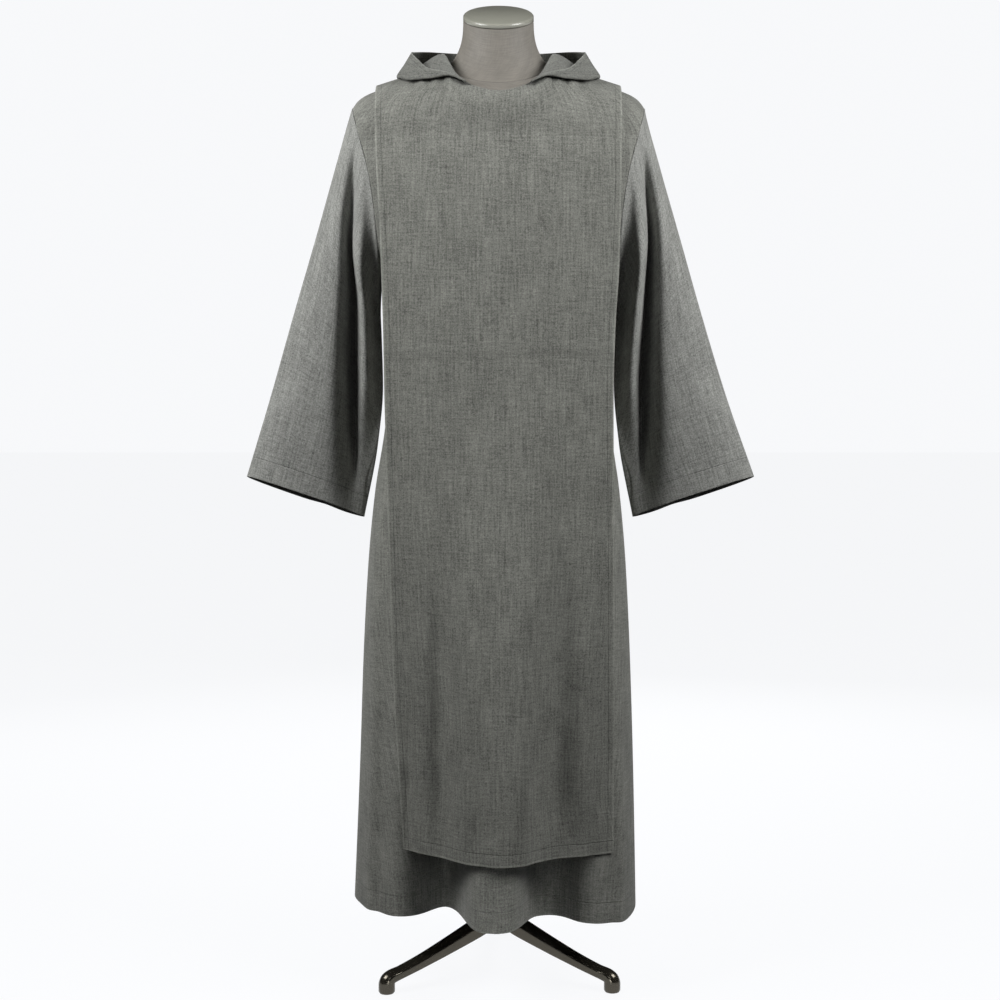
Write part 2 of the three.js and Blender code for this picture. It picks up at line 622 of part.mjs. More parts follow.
function hoodColumn(side, at) {
  const s = hoodStation(at);
  const place = (s.seamTurn / 180) * 2 * NECK_STEPS;
  const before = Math.min(Math.floor(place), 2 * NECK_STEPS - 1);
  const seam = neckline[before].clone().lerp(neckline[before + 1], place - before);
  seam.z += 1.5;
  const ridge = point(s.rx, s.ry, s.rz);
  const bottom = point(s.bx, s.by, s.bz);
  const rim = point(s.ox, s.oy, s.oz);
  const curve = new THREE.CatmullRomCurve3(
    [seam, ridge, ridge.clone().lerp(bottom, 0.5), bottom, bottom.clone().lerp(rim, 0.5), rim],
    false,
    "centripetal",
  );
  return curve.getSpacedPoints(HOOD_ROWS).map((p) => point(side * (p.x + HALF_SEAM), p.y, p.z));
}

[
  ["left", -1],
  ["right", 1],
].forEach(([name, side]) => {
  const grid = transpose(shares(HOOD_COLS).map((at) => hoodColumn(side, at)));
  const pin = (n, i, j) => {
    if (j === HOOD_COLS) n.x = 0;
  };
  add(`hood_${name}`, clothWall(grid, { turn: side, pin }), scapularWool);
});

// ---------------------------------------------------------------- dress form

// The torso lies just inside the tunic over the shoulders, then has its own waist.
const FORM_SECTIONS = [
  { z: 800, wide: 158, edge: 0, front: 96, back: 108, box: 2.2, ends: 0.5 },
  { z: 900, wide: 160, edge: 0, front: 100, back: 108, box: 2.2, ends: 0.5 },
  { z: 1040, wide: 142, edge: 0, front: 104, back: 94, box: 2.2, ends: 0.5 },
  { z: 1190, wide: 166, edge: 0, front: 116, back: 104, box: 2.3, ends: 0.5 },
  { z: 1262, wide: 184, edge: 36, front: 120, back: 110, box: 2.4, ends: 0.6 },
  { z: 1340, wide: 200, edge: 60, front: 120, back: 113, box: 2.4, ends: 0.8 },
  { z: YOKE, wide: 228, edge: 69.5, front: 110.5, back: 108.2, box: 2.3, ends: 1 },
];
const formSection = reader(FORM_SECTIONS, "z");
const FORM_TOP = {
  seam: 0,
  lift: -3.6,
  tipLift: -3.1,
  front: 78.5,
  frontZ: 1525,
  frontStart: 0,
  back: 77.8,
  backZ: 1543.4,
  backStart: 0,
};
const FORM_TIP = 232;
const FORM_HEIGHTS = [1392, 1340, 1290, 1240, 1190, 1120, 1040, 960, 880, 800];
const CAP_MIDDLE = point(0, 2, 1645);
const CAP_RADIUS = { x: 60, y: 65.5 };

function formLevel(face, share, z) {
  const s = formSection(z);
  const full = share * lerp(1 / hangShare(FORM_TIP), 1, smoothstep(z, 1262, YOKE));
  const bow = Math.max(0, 1 - Math.abs(full) ** s.box) ** s.ends;
  return point(full * s.wide, face * lerp(s.edge, face < 0 ? s.front : s.back, bow), z);
}

// A point above the tilted plane of the cap, at a turn from the front.
function capPoint(turn, radiusX, radiusY, up) {
  const tilt = rad(CAP_TILT);
  const forward = -Math.cos(turn) * radiusY;
  return point(
    Math.sin(turn) * radiusX,
    CAP_MIDDLE.y + forward * Math.cos(tilt) - up * Math.sin(tilt),
    CAP_MIDDLE.z + forward * Math.sin(tilt) + up * Math.cos(tilt),
  );
}

// One ring of the torso per row of points: the front from left to right, then the back
// from right to left, from the bottom up to the base of the neck.
const formPlaces = topPlaces(FORM_TIP);
const [formFront, formBack] = FACES.map(([, face]) =>
  transpose(
    formPlaces.map((topX) => {
      const share = hangShare(topX);
      const levels = FORM_HEIGHTS.map((z) => formLevel(face, share, z));
      return [...overShoulder(FORM_TOP, face, topX, formLevel(face, share, YOKE)), ...levels];
    }),
  ),
);
const torsoRings = formFront.map((line, i) => [...line, ...formBack[i].slice().reverse()]).reverse();
// The neck starts where the shoulders end, so there its ring closes on two points.
const neckSide = (p) => point(Math.sign(p.x) * NECK, 0, shoulderLine(NECK) + FORM_TOP.lift);
const neckBase = torsoRings.at(-1).map((p) => (Math.abs(p.x) < NECK ? p.clone() : neckSide(p)));
const neckRings = [0.12, 0.26, 0.42, 0.6, 0.8, 1].map((t) =>
  neckBase.map((p) => {
    const turn = Math.atan2(p.x / NECK, -p.y / FORM_TOP.front);
    const top = capPoint(turn, CAP_RADIUS.x, CAP_RADIUS.y, 0);
    const drawn = 1 - (1 - t) ** 2.8;
    return point(lerp(p.x, top.x, drawn), lerp(p.y, top.y, drawn), lerp(p.z, top.z, t));
  }),
);
add("dress_form", ringSolid([...torsoRings, neckBase, ...neckRings]), linen);

const CAP_STEPS = 40;
const capRings = [
  { grow: -2.5, up: 0.3 },
  { grow: 0, up: 1.8 },
  { grow: 0, up: 7 },
  { grow: -1.5, up: 9 },
].map(({ grow, up }) =>
  shares(CAP_STEPS)
    .slice(0, -1)
    .map((t) => capPoint(2 * Math.PI * t, CAP_RADIUS.x + grow, CAP_RADIUS.y + grow, up)),
);
add("neck_cap", ringSolid(capRings), capPaint);

// ---------------------------------------------------------------- stand

// A turned piece from [radius, height] pairs that start and end on the axis.
const turned = (profile, steps) =>
  new THREE.LatheGeometry(profile.map(([r, z]) => new THREE.Vector2(r, z)), steps).rotateX(Math.PI / 2);

const POLE_FOOT = 118.3;
const POLE_TOP = 799.7;
add("stand_pole", turned([[0, POLE_FOOT], [16, POLE_FOOT], [16, POLE_TOP], [0, POLE_TOP]], 28), bronze);
add("stand_hub", turned([[0, 76], [22, 76], [27, 80], [27, 113], [23, 118], [0, 118]], 32), bronze);

// A leg along its length: `out` from the pole, its height, the way it points down in
// degrees, its width and thickness, and how round it is (0 is ridged, 1 is round).
const LEG_STATIONS = [
  { out: 27.4, z: 94, down: 0, wide: 30, thick: 33, round: 0 },
  { out: 60, z: 81, down: 20, wide: 29, thick: 30, round: 0 },
  { out: 110, z: 62, down: 20, wide: 28, thick: 25, round: 0 },
  { out: 160, z: 44, down: 20, wide: 27, thick: 21, round: 0.1 },
  { out: 194, z: 33, down: 20, wide: 27, thick: 20, round: 0.3 },
  { out: FOOT_RADIUS - 10, z: 28, down: 34, wide: 28, thick: 23, round: 0.6 },
  { out: FOOT_RADIUS - 2, z: 22, down: 64, wide: 28, thick: 26, round: 0.9 },
  { out: FOOT_RADIUS, z: 15, down: 90, wide: 28, thick: 28, round: 1 },
  { out: FOOT_RADIUS, z: 3, down: 90, wide: 28, thick: 28, round: 1 },
  { out: FOOT_RADIUS, z: 0, down: 90, wide: 24, thick: 24, round: 1 },
];
// The ridged section: a flat underside, low sides and two facets that meet on a ridge.
const RIDGED = [
  [-0.5, -0.5],
  [-0.17, -0.5],
  [0.17, -0.5],
  [0.5, -0.5],
  [0.5, -0.17],
  [0.5, 0.12],
  [0.34, 0.25],
  [0.17, 0.38],
  [0, 0.5],
  [-0.17, 0.38],
  [-0.34, 0.25],
  [-0.5, 0.12],
  [-0.5, -0.17],
];

function legGeometry(degrees) {
  const rings = LEG_STATIONS.map((s) => {
    const down = rad(s.down);
    const along = point(Math.sin(down), 0, Math.cos(down));
    return RIDGED.map(([w, h]) => {
      const turn = Math.atan2(h, w);
      const side = lerp(w, Math.cos(turn) / 2, s.round) * s.wide;
      const up = lerp(h, Math.sin(turn) / 2, s.round) * s.thick;
      return point(s.out, side, s.z).addScaledVector(along, up);
    });
  });
  return ringSolid(rings).rotateZ(rad(degrees));
}
[
  ["left", 210],
  ["right", 330],
  ["rear", 90],
].forEach(([name, degrees]) => add(`stand_leg_${name}`, legGeometry(degrees + STAND_TWIST), bronze));

export default habit;
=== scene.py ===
"""A monk's habit in grey melange wool on a dress form: the looks, built round the CAD.

Every piece of cloth is a thin shell on the form of its own solid, worked out from small
tables in millimetres round the stand's pole, and moved to the row frame in metres.
"""

import math

import bpy
import numpy as np
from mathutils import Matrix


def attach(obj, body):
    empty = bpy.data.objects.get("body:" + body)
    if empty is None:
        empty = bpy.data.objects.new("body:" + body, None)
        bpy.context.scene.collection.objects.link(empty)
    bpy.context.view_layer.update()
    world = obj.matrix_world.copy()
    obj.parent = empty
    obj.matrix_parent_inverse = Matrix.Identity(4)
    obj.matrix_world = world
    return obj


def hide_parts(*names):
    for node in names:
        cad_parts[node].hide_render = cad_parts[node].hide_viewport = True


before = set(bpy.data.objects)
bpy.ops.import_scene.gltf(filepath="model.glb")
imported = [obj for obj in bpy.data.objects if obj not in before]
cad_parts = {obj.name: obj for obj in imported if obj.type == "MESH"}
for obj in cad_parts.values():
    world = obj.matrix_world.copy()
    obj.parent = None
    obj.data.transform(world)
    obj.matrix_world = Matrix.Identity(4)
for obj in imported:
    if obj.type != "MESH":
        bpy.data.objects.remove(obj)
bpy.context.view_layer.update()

# ------------------------------------------------------------------ camera, light, floor
# A long lens at chest height, tipped a little down. A soft light hangs high on each side
# in front, with a weak one between them, a low one for the stand's feet and two behind.
# The floor is plain and pale.
camera_data = bpy.data.cameras.new("camera")
camera_data.sensor_width = 36.0
camera_data.lens = 62.64
camera = bpy.data.objects.new("camera", camera_data)
camera.location = (-0.0009, -3.0, 1.0)
camera.rotation_euler = (math.radians(90 - 3.3), 0, 0)
bpy.context.scene.collection.objects.link(camera)
bpy.context.scene.camera = camera
bpy.context.scene.view_settings.view_transform = "Standard"


def soft_light(name, place, aim, size, watts, spread=180, shine=True):
    """A square area light at a place, turned to face another, with its spread in degrees.
    One without shine lights a surface but makes no highlight on it."""
    data = bpy.data.lights.new(name, "AREA")
    data.shape = "SQUARE"
    data.size = size
    data.energy = watts
    data.spread = math.radians(spread)
    lamp = bpy.data.objects.new(name, data)
    lamp.location = place
    way = np.array(aim, float) - np.array(place, float)
    lamp.rotation_euler = (
        math.atan2(math.hypot(way[0], way[1]), -way[2]),
        0,
        math.atan2(way[1], way[0]) - math.pi / 2,
    )
    lamp.visible_camera = False
    lamp.visible_glossy = shine
    bpy.context.scene.collection.objects.link(lamp)


soft_light("key_left", (-1.7, -1.0, 2.25), (0, 0, 1.5), 1.2, 38.5, spread=150)
soft_light("key_right", (1.7, -1.0, 2.25), (0, 0, 1.5), 1.2, 35.5, spread=150)
soft_light("front_light", (0, -3.1, 2.2), (0, 0, 1.2), 0.8, 4)
soft_light("foot_light", (0, -1.25, 0.1), (0, 0, 0), 0.25, 0.1, spread=26)
soft_light("back_light", (0.7, 2.8, 1.7), (0, 0, 0.9), 1.1, 52, shine=False)
soft_light("back_fill", (-1.6, 2.3, 1.6), (0, 0, 0.9), 1.2, 24, shine=False)

PAPER = (0.936, 0.944, 0.96, 1)
world = bpy.data.worlds.new("studio")
world.use_nodes = True
world.node_tree.nodes["Background"].inputs["Color"].default_value = PAPER
bpy.context.scene.world = world
world.cycles_visibility.diffuse = False
world.cycles_visibility.glossy = False

floor_mesh = bpy.data.meshes.new("floor")
floor_mesh.from_pydata([(-30, -30, 0), (30, -30, 0), (30, 30, 0), (-30, 30, 0)], [], [(0, 1, 2, 3)])
floor = bpy.data.objects.new("floor", floor_mesh)
floor_paint = bpy.data.materials.new("floor_paint")
floor_paint.use_nodes = True
floor_shader = floor_paint.node_tree.nodes["Principled BSDF"]
floor_shader.inputs["Base Color"].default_value = (0.06, 0.06, 0.06, 1)
floor_shader.inputs["Specular IOR Level"].default_value = 0
floor_shader.inputs["Emission Color"].default_value = PAPER
floor_shader.inputs["Emission Strength"].default_value = 0.975
floor.data.materials.append(floor_paint)
floor.visible_diffuse = False
bpy.context.scene.collection.objects.link(floor)

# ------------------------------------------------------------------ tunic
# The long under-garment: a front and a back panel in heavy grey wool, joined along the
# shoulders and sides, with deep loose folds in the skirt and a hem turned up at the foot.
POLE_TO_MIDDLE = 3.5
NECK = 88
TIP = 246
YOKE = 1440
UNDERARM = 1210
TUNIC_HEM = 135
HEM_SLOPE = 0.02
HALF_SEAM = 0.15
# The wall of a solid's cloth, and of the shells made here.
CLOTH = 1.8
SHELL = 1.3


def curves(names, rows):
    """A reader for a table's columns by its first: cubic between rows, never overshooting."""
    table = np.array(rows, float)
    at, columns = table[:, 0], table[:, 1:]
    chords = np.diff(columns, axis=0) / np.diff(at)[:, None]
    before = np.vstack([chords[:1], chords])
    after = np.vstack([chords, chords[-1:]])
    same_way = before * after > 0
    total = np.where(same_way, before + after, 1)
    slopes = np.where(same_way, 2 * before * after / total, 0)

    def read(x):
        x = np.clip(np.asarray(x, float), at[0], at[-1])
        i = np.clip(np.searchsorted(at, x, side="right") - 1, 0, len(at) - 2)
        step = (at[i + 1] - at[i])[..., None]
        t = (x - at[i])[..., None] / step
        rise = columns[i + 1] - columns[i]
        start, end = slopes[i] * step, slopes[i + 1] * step
        value = columns[i] + t * (start + t * (3 * rise - 2 * start - end + t * (start + end - 2 * rise)))
        return dict(zip(names.split(), np.moveaxis(value, -1, 0)))

    return read


def ease(x, low, high):
    """0 below low, 1 above high, and a smooth step between."""
    t = np.clip((np.asarray(x, float) - low) / (high - low), 0, 1)
    return t * t * (3 - 2 * t)


def mix(a, b, t):
    """The value a share t of the way from a to b."""
    return a + (b - a) * t


def ridge(x, middle, width, crisp=2.0):
    """A smooth bump of height 1 round its middle; crisp above 2 squares its shoulders."""
    return np.exp(-(np.abs((x - middle) / width) ** crisp))


shoulder_line = curves(
    "z",
    [
        (NECK, 1567), (100, 1558), (125, 1548.5), (170, 1534.5),
        (205, 1523), (226, 1514), (238, 1505), (TIP, 1494),
    ],
)


def top_places(limit, inner=22, outer=30):
    """Where columns of cloth start, from tip to tip: in even turns round the neck, then out."""
    round_neck = NECK * np.sin(np.linspace(0, math.pi / 2, inner + 1)[1:])
    along = 1 - (1 - np.linspace(0, 1, outer + 1)[1:]) ** 1.5
    right = np.concatenate([round_neck, NECK + (limit - NECK) * along])
    return np.concatenate([-right[::-1], [0], right])


def over_shoulder(size, face, x, yoke, steps):
    """A quarter oval from a layer's top down to its yoke points, started part way at the
    neckline: top + (yoke - top) by 1 - cos and sin of the turn."""
    far = np.abs(x)
    neck_share = np.sqrt(np.clip(1 - (x / NECK) ** 2, 0, None))
    on_neck = far < NECK
    depth, low = (size["front"], size["front_z"]) if face < 0 else (size["back"], size["back_z"])
    line = shoulder_line(np.maximum(far, NECK))["z"]
    top_z = np.where(
        on_neck,
        mix(line + size["lift"], low, neck_share**1.3),
        line + mix(size["lift"], size["tip_lift"], far / TIP),
    )
    top_y = face * (size["seam"] + np.where(on_neck, depth * neck_share, 0))
    start = (size["front_start"] if face < 0 else size["back_start"]) * neck_share**0.7
    turn = mix(start[None, :], 1, steps[:, None]) * math.pi / 2
    return np.stack(
        [
            mix(x, yoke[:, 0], 1 - np.cos(turn)),
            mix(top_y, yoke[:, 1], np.sin(turn)),
            mix(yoke[:, 2], top_z, np.cos(turn)),
        ],
        axis=-1,
    )


def hang_share(x):
    """The share of the half width at which the column from a top place hangs."""
    return (x / TIP) * (1.061 - 0.061 * (x / TIP) ** 2)


tunic_section = curves(
    "left right edge front back box ends",
    [
        (125, 250, 237, HALF_SEAM, 152, 160, 2.3, 0.45),
        (373, 239, 232, HALF_SEAM, 152, 156, 2.3, 0.45),
        (566, 232, 226, HALF_SEAM, 150, 150, 2.3, 0.45),
        (723, 223, 218, HALF_SEAM, 148, 144, 2.4, 0.45),
        (844, 211, 207, HALF_SEAM, 144, 138, 2.5, 0.45),
        (950, 194, 192, HALF_SEAM, 140, 132, 2.6, 0.45),
        (1030, 186, 186, HALF_SEAM, 138, 127, 2.7, 0.45),
        (1120, 188, 188, HALF_SEAM, 138, 124, 2.9, 0.5),
        (UNDERARM, 198, 198, HALF_SEAM, 138, 123, 3.2, 0.8),
        (1226, 199, 199, 40, 138, 123, 3.0, 1),
        (1262, 201, 201, 74, 136, 122, 2.7, 1),
        (1330, 207, 207, 95, 132, 121, 2.4, 1),
        (1390, 218, 218, 92, 124, 118, 2.3, 1),
        (YOKE, 232, 232, 74, 114, 112, 2.3, 1),
    ],
)
# Where a fold starts and where it is at the hem, as shares of the half width; how far it
# stands out at the hem; its half width; the height it starts at; how steep its sides are.
SKIRT_FOLDS = {
    -1: [
        (-0.05, -0.03, 72, 47, 900, 4),
        (-0.42, -0.36, -70, 36, 860, 2),
        (0.36, 0.36, -34, 50, 840, 2),
        (-0.72, -0.74, 24, 40, 900, 2),
        (0.78, 0.72, 46, 44, 880, 2),
        (0.9, 0.93, 56, 30, 700, 2),
        (-0.96, -0.885, 15, 12, 1400, 2),
        (-0.86, -0.8, -5, 12, 1300, 2),
        (0.9, 0.87, 10, 11, 1200, 2),
        (0.62, 0.56, 7, 16, 760, 2),
        (-0.24, -0.2, 6, 15, 620, 2),
        (0.14, 0.17, 7, 14, 560, 2),
    ],
    1: [
        (-0.05, -0.12, 48, 52, 880, 3),
        (0.2, 0.27, -46, 38, 820, 2),
        (-0.4, -0.48, -50, 40, 840, 2),
        (0.5, 0.6, 38, 44, 900, 2),
        (-0.74, -0.8, 26, 38, 860, 2),
        (0.88, 0.92, 8, 14, 980, 2),
        (-0.24, -0.28, 7, 16, 700, 2),
        (0.36, 0.42, 6, 14, 640, 2),
        (-0.94, -0.93, 9, 13, 1040, 2),
    ],
}


def tunic_level(face, share, z):
    """A panel's surface: from its edge at the side to its middle along a superellipse,
    with every fold's bump, grown from its top to the hem, added outwards."""
    s = tunic_section(z)
    half = np.where(share < 0, s["left"], s["right"])
    bow = np.clip(1 - np.abs(share) ** s["box"], 0, None) ** s["ends"]
    out = 0
    for top_at, hem_at, stands, wide, top, crisp in SKIRT_FOLDS[face]:
        grown = ease(top - z, 0, top - TUNIC_HEM)
        out = out + stands * grown**1.15 * ridge(share * half, mix(top_at, hem_at, grown) * half, wide, crisp)
    middle = s["front"] if face < 0 else s["back"]
    y = face * (mix(s["edge"], middle, bow) + out * np.sqrt(bow))
    return np.stack([share * half, y, z + 0 * share], axis=-1)


TUNIC_TOP = dict(
    seam=HALF_SEAM, lift=-2.2, tip_lift=0,
    front=81, front_z=1525, front_start=0.56,
    back=83, back_z=1545, back_start=0.37,
)


def tunic_panel(face, x, shoulder_steps, heights):
    """A panel's grid of points: its shoulder rows, then its level rows down to the hem."""
    share = hang_share(x)
    yoke = tunic_level(face, share, np.full_like(x, YOKE))
    top = over_shoulder(TUNIC_TOP, face, x, yoke, shoulder_steps)
    levels = tunic_level(face, *np.broadcast_arrays(share[None, :], heights[:, None]))
    levels[..., 2] -= HEM_SLOPE * levels[..., 0] * (1 - ease(levels[..., 2], TUNIC_HEM, 900))
    return np.concatenate([top, levels])


def lengths(grid, axis):
    """How far each point is along the cloth from the first one, along rows or columns."""
    steps = np.linalg.norm(np.diff(grid, axis=axis), axis=-1)
    return np.concatenate([np.zeros_like(np.take(steps, [0], axis)), np.cumsum(steps, axis)], axis)


# The sides of a sleeve or a hood half are seams, so their distances count from here, in
# metres: no hem line reaches them, and a side stitch at this value runs along the seam. A
# tunic panel's sides count from 0, so there a side stitch at this value is off the cloth.
SEWN = 9.0


def cloth(name, grid, finish, turn=1, grain=0.5, seam=None, sewn_sides=False):
    """A shell of cloth from a grid of outer points in mm, closed to a tube where it has a
    seam column. Its first UV map is metres across and down the cloth, across from the
    column at the grain share of its width, or on a tube both ways round from its first
    column to its seam. Its second map is the distance to its side and foot hems."""
    rows, cols = grid.shape[:2]
    closed = seam is not None
    across = lengths(grid, 1)
    down = lengths(grid, 0)
    to_foot = down[-1][None, :] - down
    thread = np.broadcast_to(down.mean(1, keepdims=True), down.shape)
    to_side = np.minimum(across, lengths(grid[:, ::-1], 1)[:, ::-1])
    if sewn_sides:
        to_side = to_side + SEWN * 1000
    if not closed:
        across = across - across[:, round(grain * (cols - 1))][:, None]
    wrap = cols if closed else cols - 1
    i, j = np.meshgrid(np.arange(rows - 1), np.arange(wrap), indexing="ij")
    k = (j + 1) % cols
    quads = np.stack([i * cols + j, i * cols + k, (i + 1) * cols + k, (i + 1) * cols + j], -1).reshape(-1, 4)
    around = across
    if closed:
        last_step = np.linalg.norm(grid[:, :1] - grid[:, -1:], axis=-1)
        around = np.concatenate([across, across[:, -1:] + last_step], 1)
    width = around.shape[1]
    corner = np.stack([i * width + j, i * width + j + 1, (i + 1) * width + j + 1, (i + 1) * width + j], -1)
    corner = corner.reshape(-1, 4)
    if turn > 0:
        quads, corner = quads[:, ::-1], corner[:, ::-1]
    places = (grid.reshape(-1, 3) + (-POLE_TO_MIDDLE, 0, 0)) * 0.001
    mesh = bpy.data.meshes.new(name)
    mesh.vertices.add(len(places))
    mesh.vertices.foreach_set("co", places.astype(np.float32).ravel())
    mesh.loops.add(quads.size)
    mesh.loops.foreach_set("vertex_index", quads.astype(np.int32).ravel())
    mesh.polygons.add(len(quads))
    mesh.polygons.foreach_set("loop_start", np.arange(0, quads.size, 4, dtype=np.int32))
    mesh.polygons.foreach_set("use_smooth", np.ones(len(quads), bool))
    mesh.update(calc_edges=True)

    def spread(values):
        if closed:
            values = np.concatenate([values, values[:, :1]], 1)
        return values.ravel()[corner.ravel()] * 0.001

    woven = around.ravel()[corner]
    if closed:
        other_way = (around - around[:, -1:]).ravel()[corner]
        woven = np.where(j.reshape(-1, 1) >= seam, other_way, woven)
    maps = (("cloth", woven.ravel() * 0.001, spread(thread)), ("hems", spread(to_side), spread(to_foot)))
    for layer, u, v in maps:
        uv = mesh.uv_layers.new(name=layer)
        uv.data.foreach_set("uv", np.stack([u, v], -1).astype(np.float32).ravel())
    mesh.materials.append(finish)
    piece = bpy.data.objects.new(name, mesh)
    bpy.context.scene.collection.objects.link(piece)
    wall = piece.modifiers.new("wall", "SOLIDIFY")
    wall.thickness = SHELL * 0.001
    wall.offset = -1
    shading = piece.modifiers.new("shading", "WEIGHTED_NORMAL")
    shading.weight = 90
    return piece


class Wire:
    """A socket of a finish's node tree. Sums, products and the like add Math nodes."""

    def __init__(self, tree, socket=None):
        self.tree, self.socket = tree, socket

    def node(self, kind, settings=(), inputs=(), out=0):
        """Any node: its settings first, then its sockets' values or links."""
        made = self.tree.nodes.new("ShaderNode" + kind)
        for key, value in dict(settings).items():
            setattr(made, key, value)
        for key, value in dict(inputs).items():
            if isinstance(value, Wire):
                self.tree.links.new(value.socket, made.inputs[key])
            else:
                made.inputs[key].default_value = value
        return Wire(self.tree, made.outputs[out])

    def maths(self, operation, *values):
        return self.node("Math", {"operation": operation}, dict(enumerate((self, *values))))

    def __add__(self, other):
        return self.maths("ADD", other)

    def __sub__(self, other):
        return self.maths("SUBTRACT", other)

    def __rsub__(self, other):
        return self.maths("MULTIPLY_ADD", -1.0, other)

    def __mul__(self, other):
        return self.maths("MULTIPLY", other)

    __radd__ = __add__
    __rmul__ = __mul__

    def span(self, low, high):
        """0 at low and 1 at high, smoothly."""
        return self.node(
            "MapRange",
            {"interpolation_type": "SMOOTHSTEP", "clamp": True},
            {"Value": self, "From Min": low, "From Max": high},
        )

    def line(self, at, half):
        """1 on a line at a value, falling to 0 at half a width from it."""
        return (self - at).maths("ABSOLUTE").span(half, 0.0)

    def larger(self, other):
        return self.maths("MAXIMUM", other)

    def part(self, index):
        """One of a vector's three numbers."""
        return self.node("SeparateXYZ", {}, {0: self}, out=index)

    def streaks(self, scale, detail=2.0, rough=0.5):
        """Flat noise round 0, from about -0.5 to 0.5, at a scale to the metre each way."""
        scaled = self.node("VectorMath", {"operation": "MULTIPLY"}, {0: self, 1: (*scale, 1)})
        sockets = {"Vector": scaled, "Scale": 1.0, "Detail": detail, "Roughness": rough}
        return self.node("TexNoise", {"noise_dimensions": "2D"}, sockets) - 0.5

    def specks(self, scale, detail=2.0, rough=0.5):
        """Noise through space round 0, alike every way, at a scale to the metre."""
        sockets = {"Vector": self, "Scale": scale, "Detail": detail, "Roughness": rough}
        return self.node("TexNoise", {}, sockets) - 0.5


def new_finish(name, roughness, metallic=0.0, sheen=0.0):
    """A material with its shader's fixed values, and a wire to start its nodes from."""
    material = bpy.data.materials.new(name)
    material.use_nodes = True
    shader = material.node_tree.nodes["Principled BSDF"]
    shader.inputs["Roughness"].default_value = roughness
    shader.inputs["Metallic"].default_value = metallic
    shader.inputs["Sheen Weight"].default_value = sheen
    shader.inputs["Sheen Roughness"].default_value = 0.45
    return material, shader, Wire(material.node_tree)


def surface(shader, colour, tone, height, strength, depth):
    """Give a shader a colour scaled by its tone, and a bump of a height times a depth."""
    shade = tone.node("VectorMath", {"operation": "SCALE"}, {0: colour, "Scale": tone})
    tone.tree.links.new(shade.socket, shader.inputs["Base Color"])
    bump = tone.node("Bump", {}, {"Height": height, "Strength": strength, "Distance": depth})
    tone.tree.links.new(bump.socket, shader.inputs["Normal"])


STITCH_LENGTH = 0.0042
STITCH_WIDTH = 0.0013
TURN_STEP = 0.0012
ROLLED_EDGE = (0.0042, 0.0016)


def wool(name, grey, side_stitch, foot_stitch, foot_turn, painted_edge_highlight=0.1):
    """Heather wool: light and dark fibres spun together show as long streaks down the cloth, short slubs
    across it and a fine salt and pepper between them. The stitch lines, the hems turned up to them and the
    rolled edge are at distances in metres from the sides and the foot, by the second UV map. The rolled edge
    is painted lighter, a painted highlight for the light its fold catches."""
    material, shader, start = new_finish(name, 0.92, sheen=0.12)
    shader.inputs["Specular IOR Level"].default_value = 0.18
    weave = start.node("UVMap", {"uv_map": "cloth"})
    hems = start.node("UVMap", {"uv_map": "hems"})
    side, foot = hems.part(0), hems.part(1)
    warp = weave.streaks((310, 16), 3.0, 0.62)
    weft = weave.streaks((30, 340), 3.0, 0.62)
    clouds = weave.streaks((20, 13), 3.0, 0.6)
    pepper = start.node("TexCoord", out=3).specks(420.0, 3.0, 0.75)
    stitches = (weave.part(1) * (2 * math.pi / STITCH_LENGTH)).maths("SINE").span(-0.9, 0.1)
    lines = side.line(side_stitch, STITCH_WIDTH).larger(foot.line(foot_stitch, STITCH_WIDTH))
    seam = lines * (stitches * 0.5 + 0.5)
    band = side.span(*ROLLED_EDGE).larger(foot.span(*ROLLED_EDGE))
    foot_fold = foot.span(foot_turn + TURN_STEP, foot_turn - TURN_STEP)
    turned = foot_fold.larger(side.span(side_stitch + TURN_STEP, side_stitch - TURN_STEP))
    tone = 1.0 + warp * 0.95 + weft * 0.7125 + pepper * 2.2 + clouds * 0.5
    # The band along the rolled edge lightens the tone: a painted highlight where the fold catches the light.
    tone = tone * (1.0 - seam * 0.22) + band * painted_edge_highlight
    height = warp * 0.45 + weft * 0.5 + pepper * 0.7 - seam * 2.2 + turned * 1.2 + band * 0.5
    surface(shader, grey, tone, height, 0.6, 0.0006)
    return material


tunic_wool = wool("tunic_wool", (0.2, 0.203, 0.183), SEWN, 0.034, 0.034)
SHOULDER_ROWS = np.linspace(0, 1, 16)
TUNIC_HEIGHTS = np.concatenate([np.linspace(1433, 1218, 26), np.linspace(UNDERARM, TUNIC_HEM, 96)])
# Each panel with what it is cut to: its greatest width and length, and its area, in metres.
for name, face, flat, area in (
    ("tunic_front", -1, (0.906, 1.496), 0.88),
    ("tunic_back", 1, (0.828, 1.494), 0.85),
):
    grid = tunic_panel(face, top_places(TIP), SHOULDER_ROWS, TUNIC_HEIGHTS)
    panel = cloth(name + "_cloth", grid, tunic_wool, turn=face)
    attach(panel, "root")
    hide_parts(name)

# ------------------------------------------------------------------ sleeves
# Wide straight sleeves of the same wool, each one panel folded lengthwise and set into
# the armhole with a seam. Long folds fall from the shoulder tip, and the cuff is hemmed.
ARMHOLE_GAP = 0.9
CUFF_LEAN = 0.19
sleeve_section = curves(
    "out_left out_right out_z in_x in_z front back",
    [
        (0, 246, 246, 1494, 198, 1210, 96, 90),
        (0.06, 257, 252, 1462, 202, 1190, 88, 84),
        (0.15, 279, 276, 1385, 204, 1160, 74, 74),
        (0.3, 309, 307, 1281, 202, 1105, 62, 64),
        (0.5, 349, 346, 1147, 200, 1025, 52, 54),
        (0.75, 391, 391, 1002, 209, 925, 44, 46),
        (1, 432.5, 439.5, 867, 233, 799, 36, 38),
    ],
)
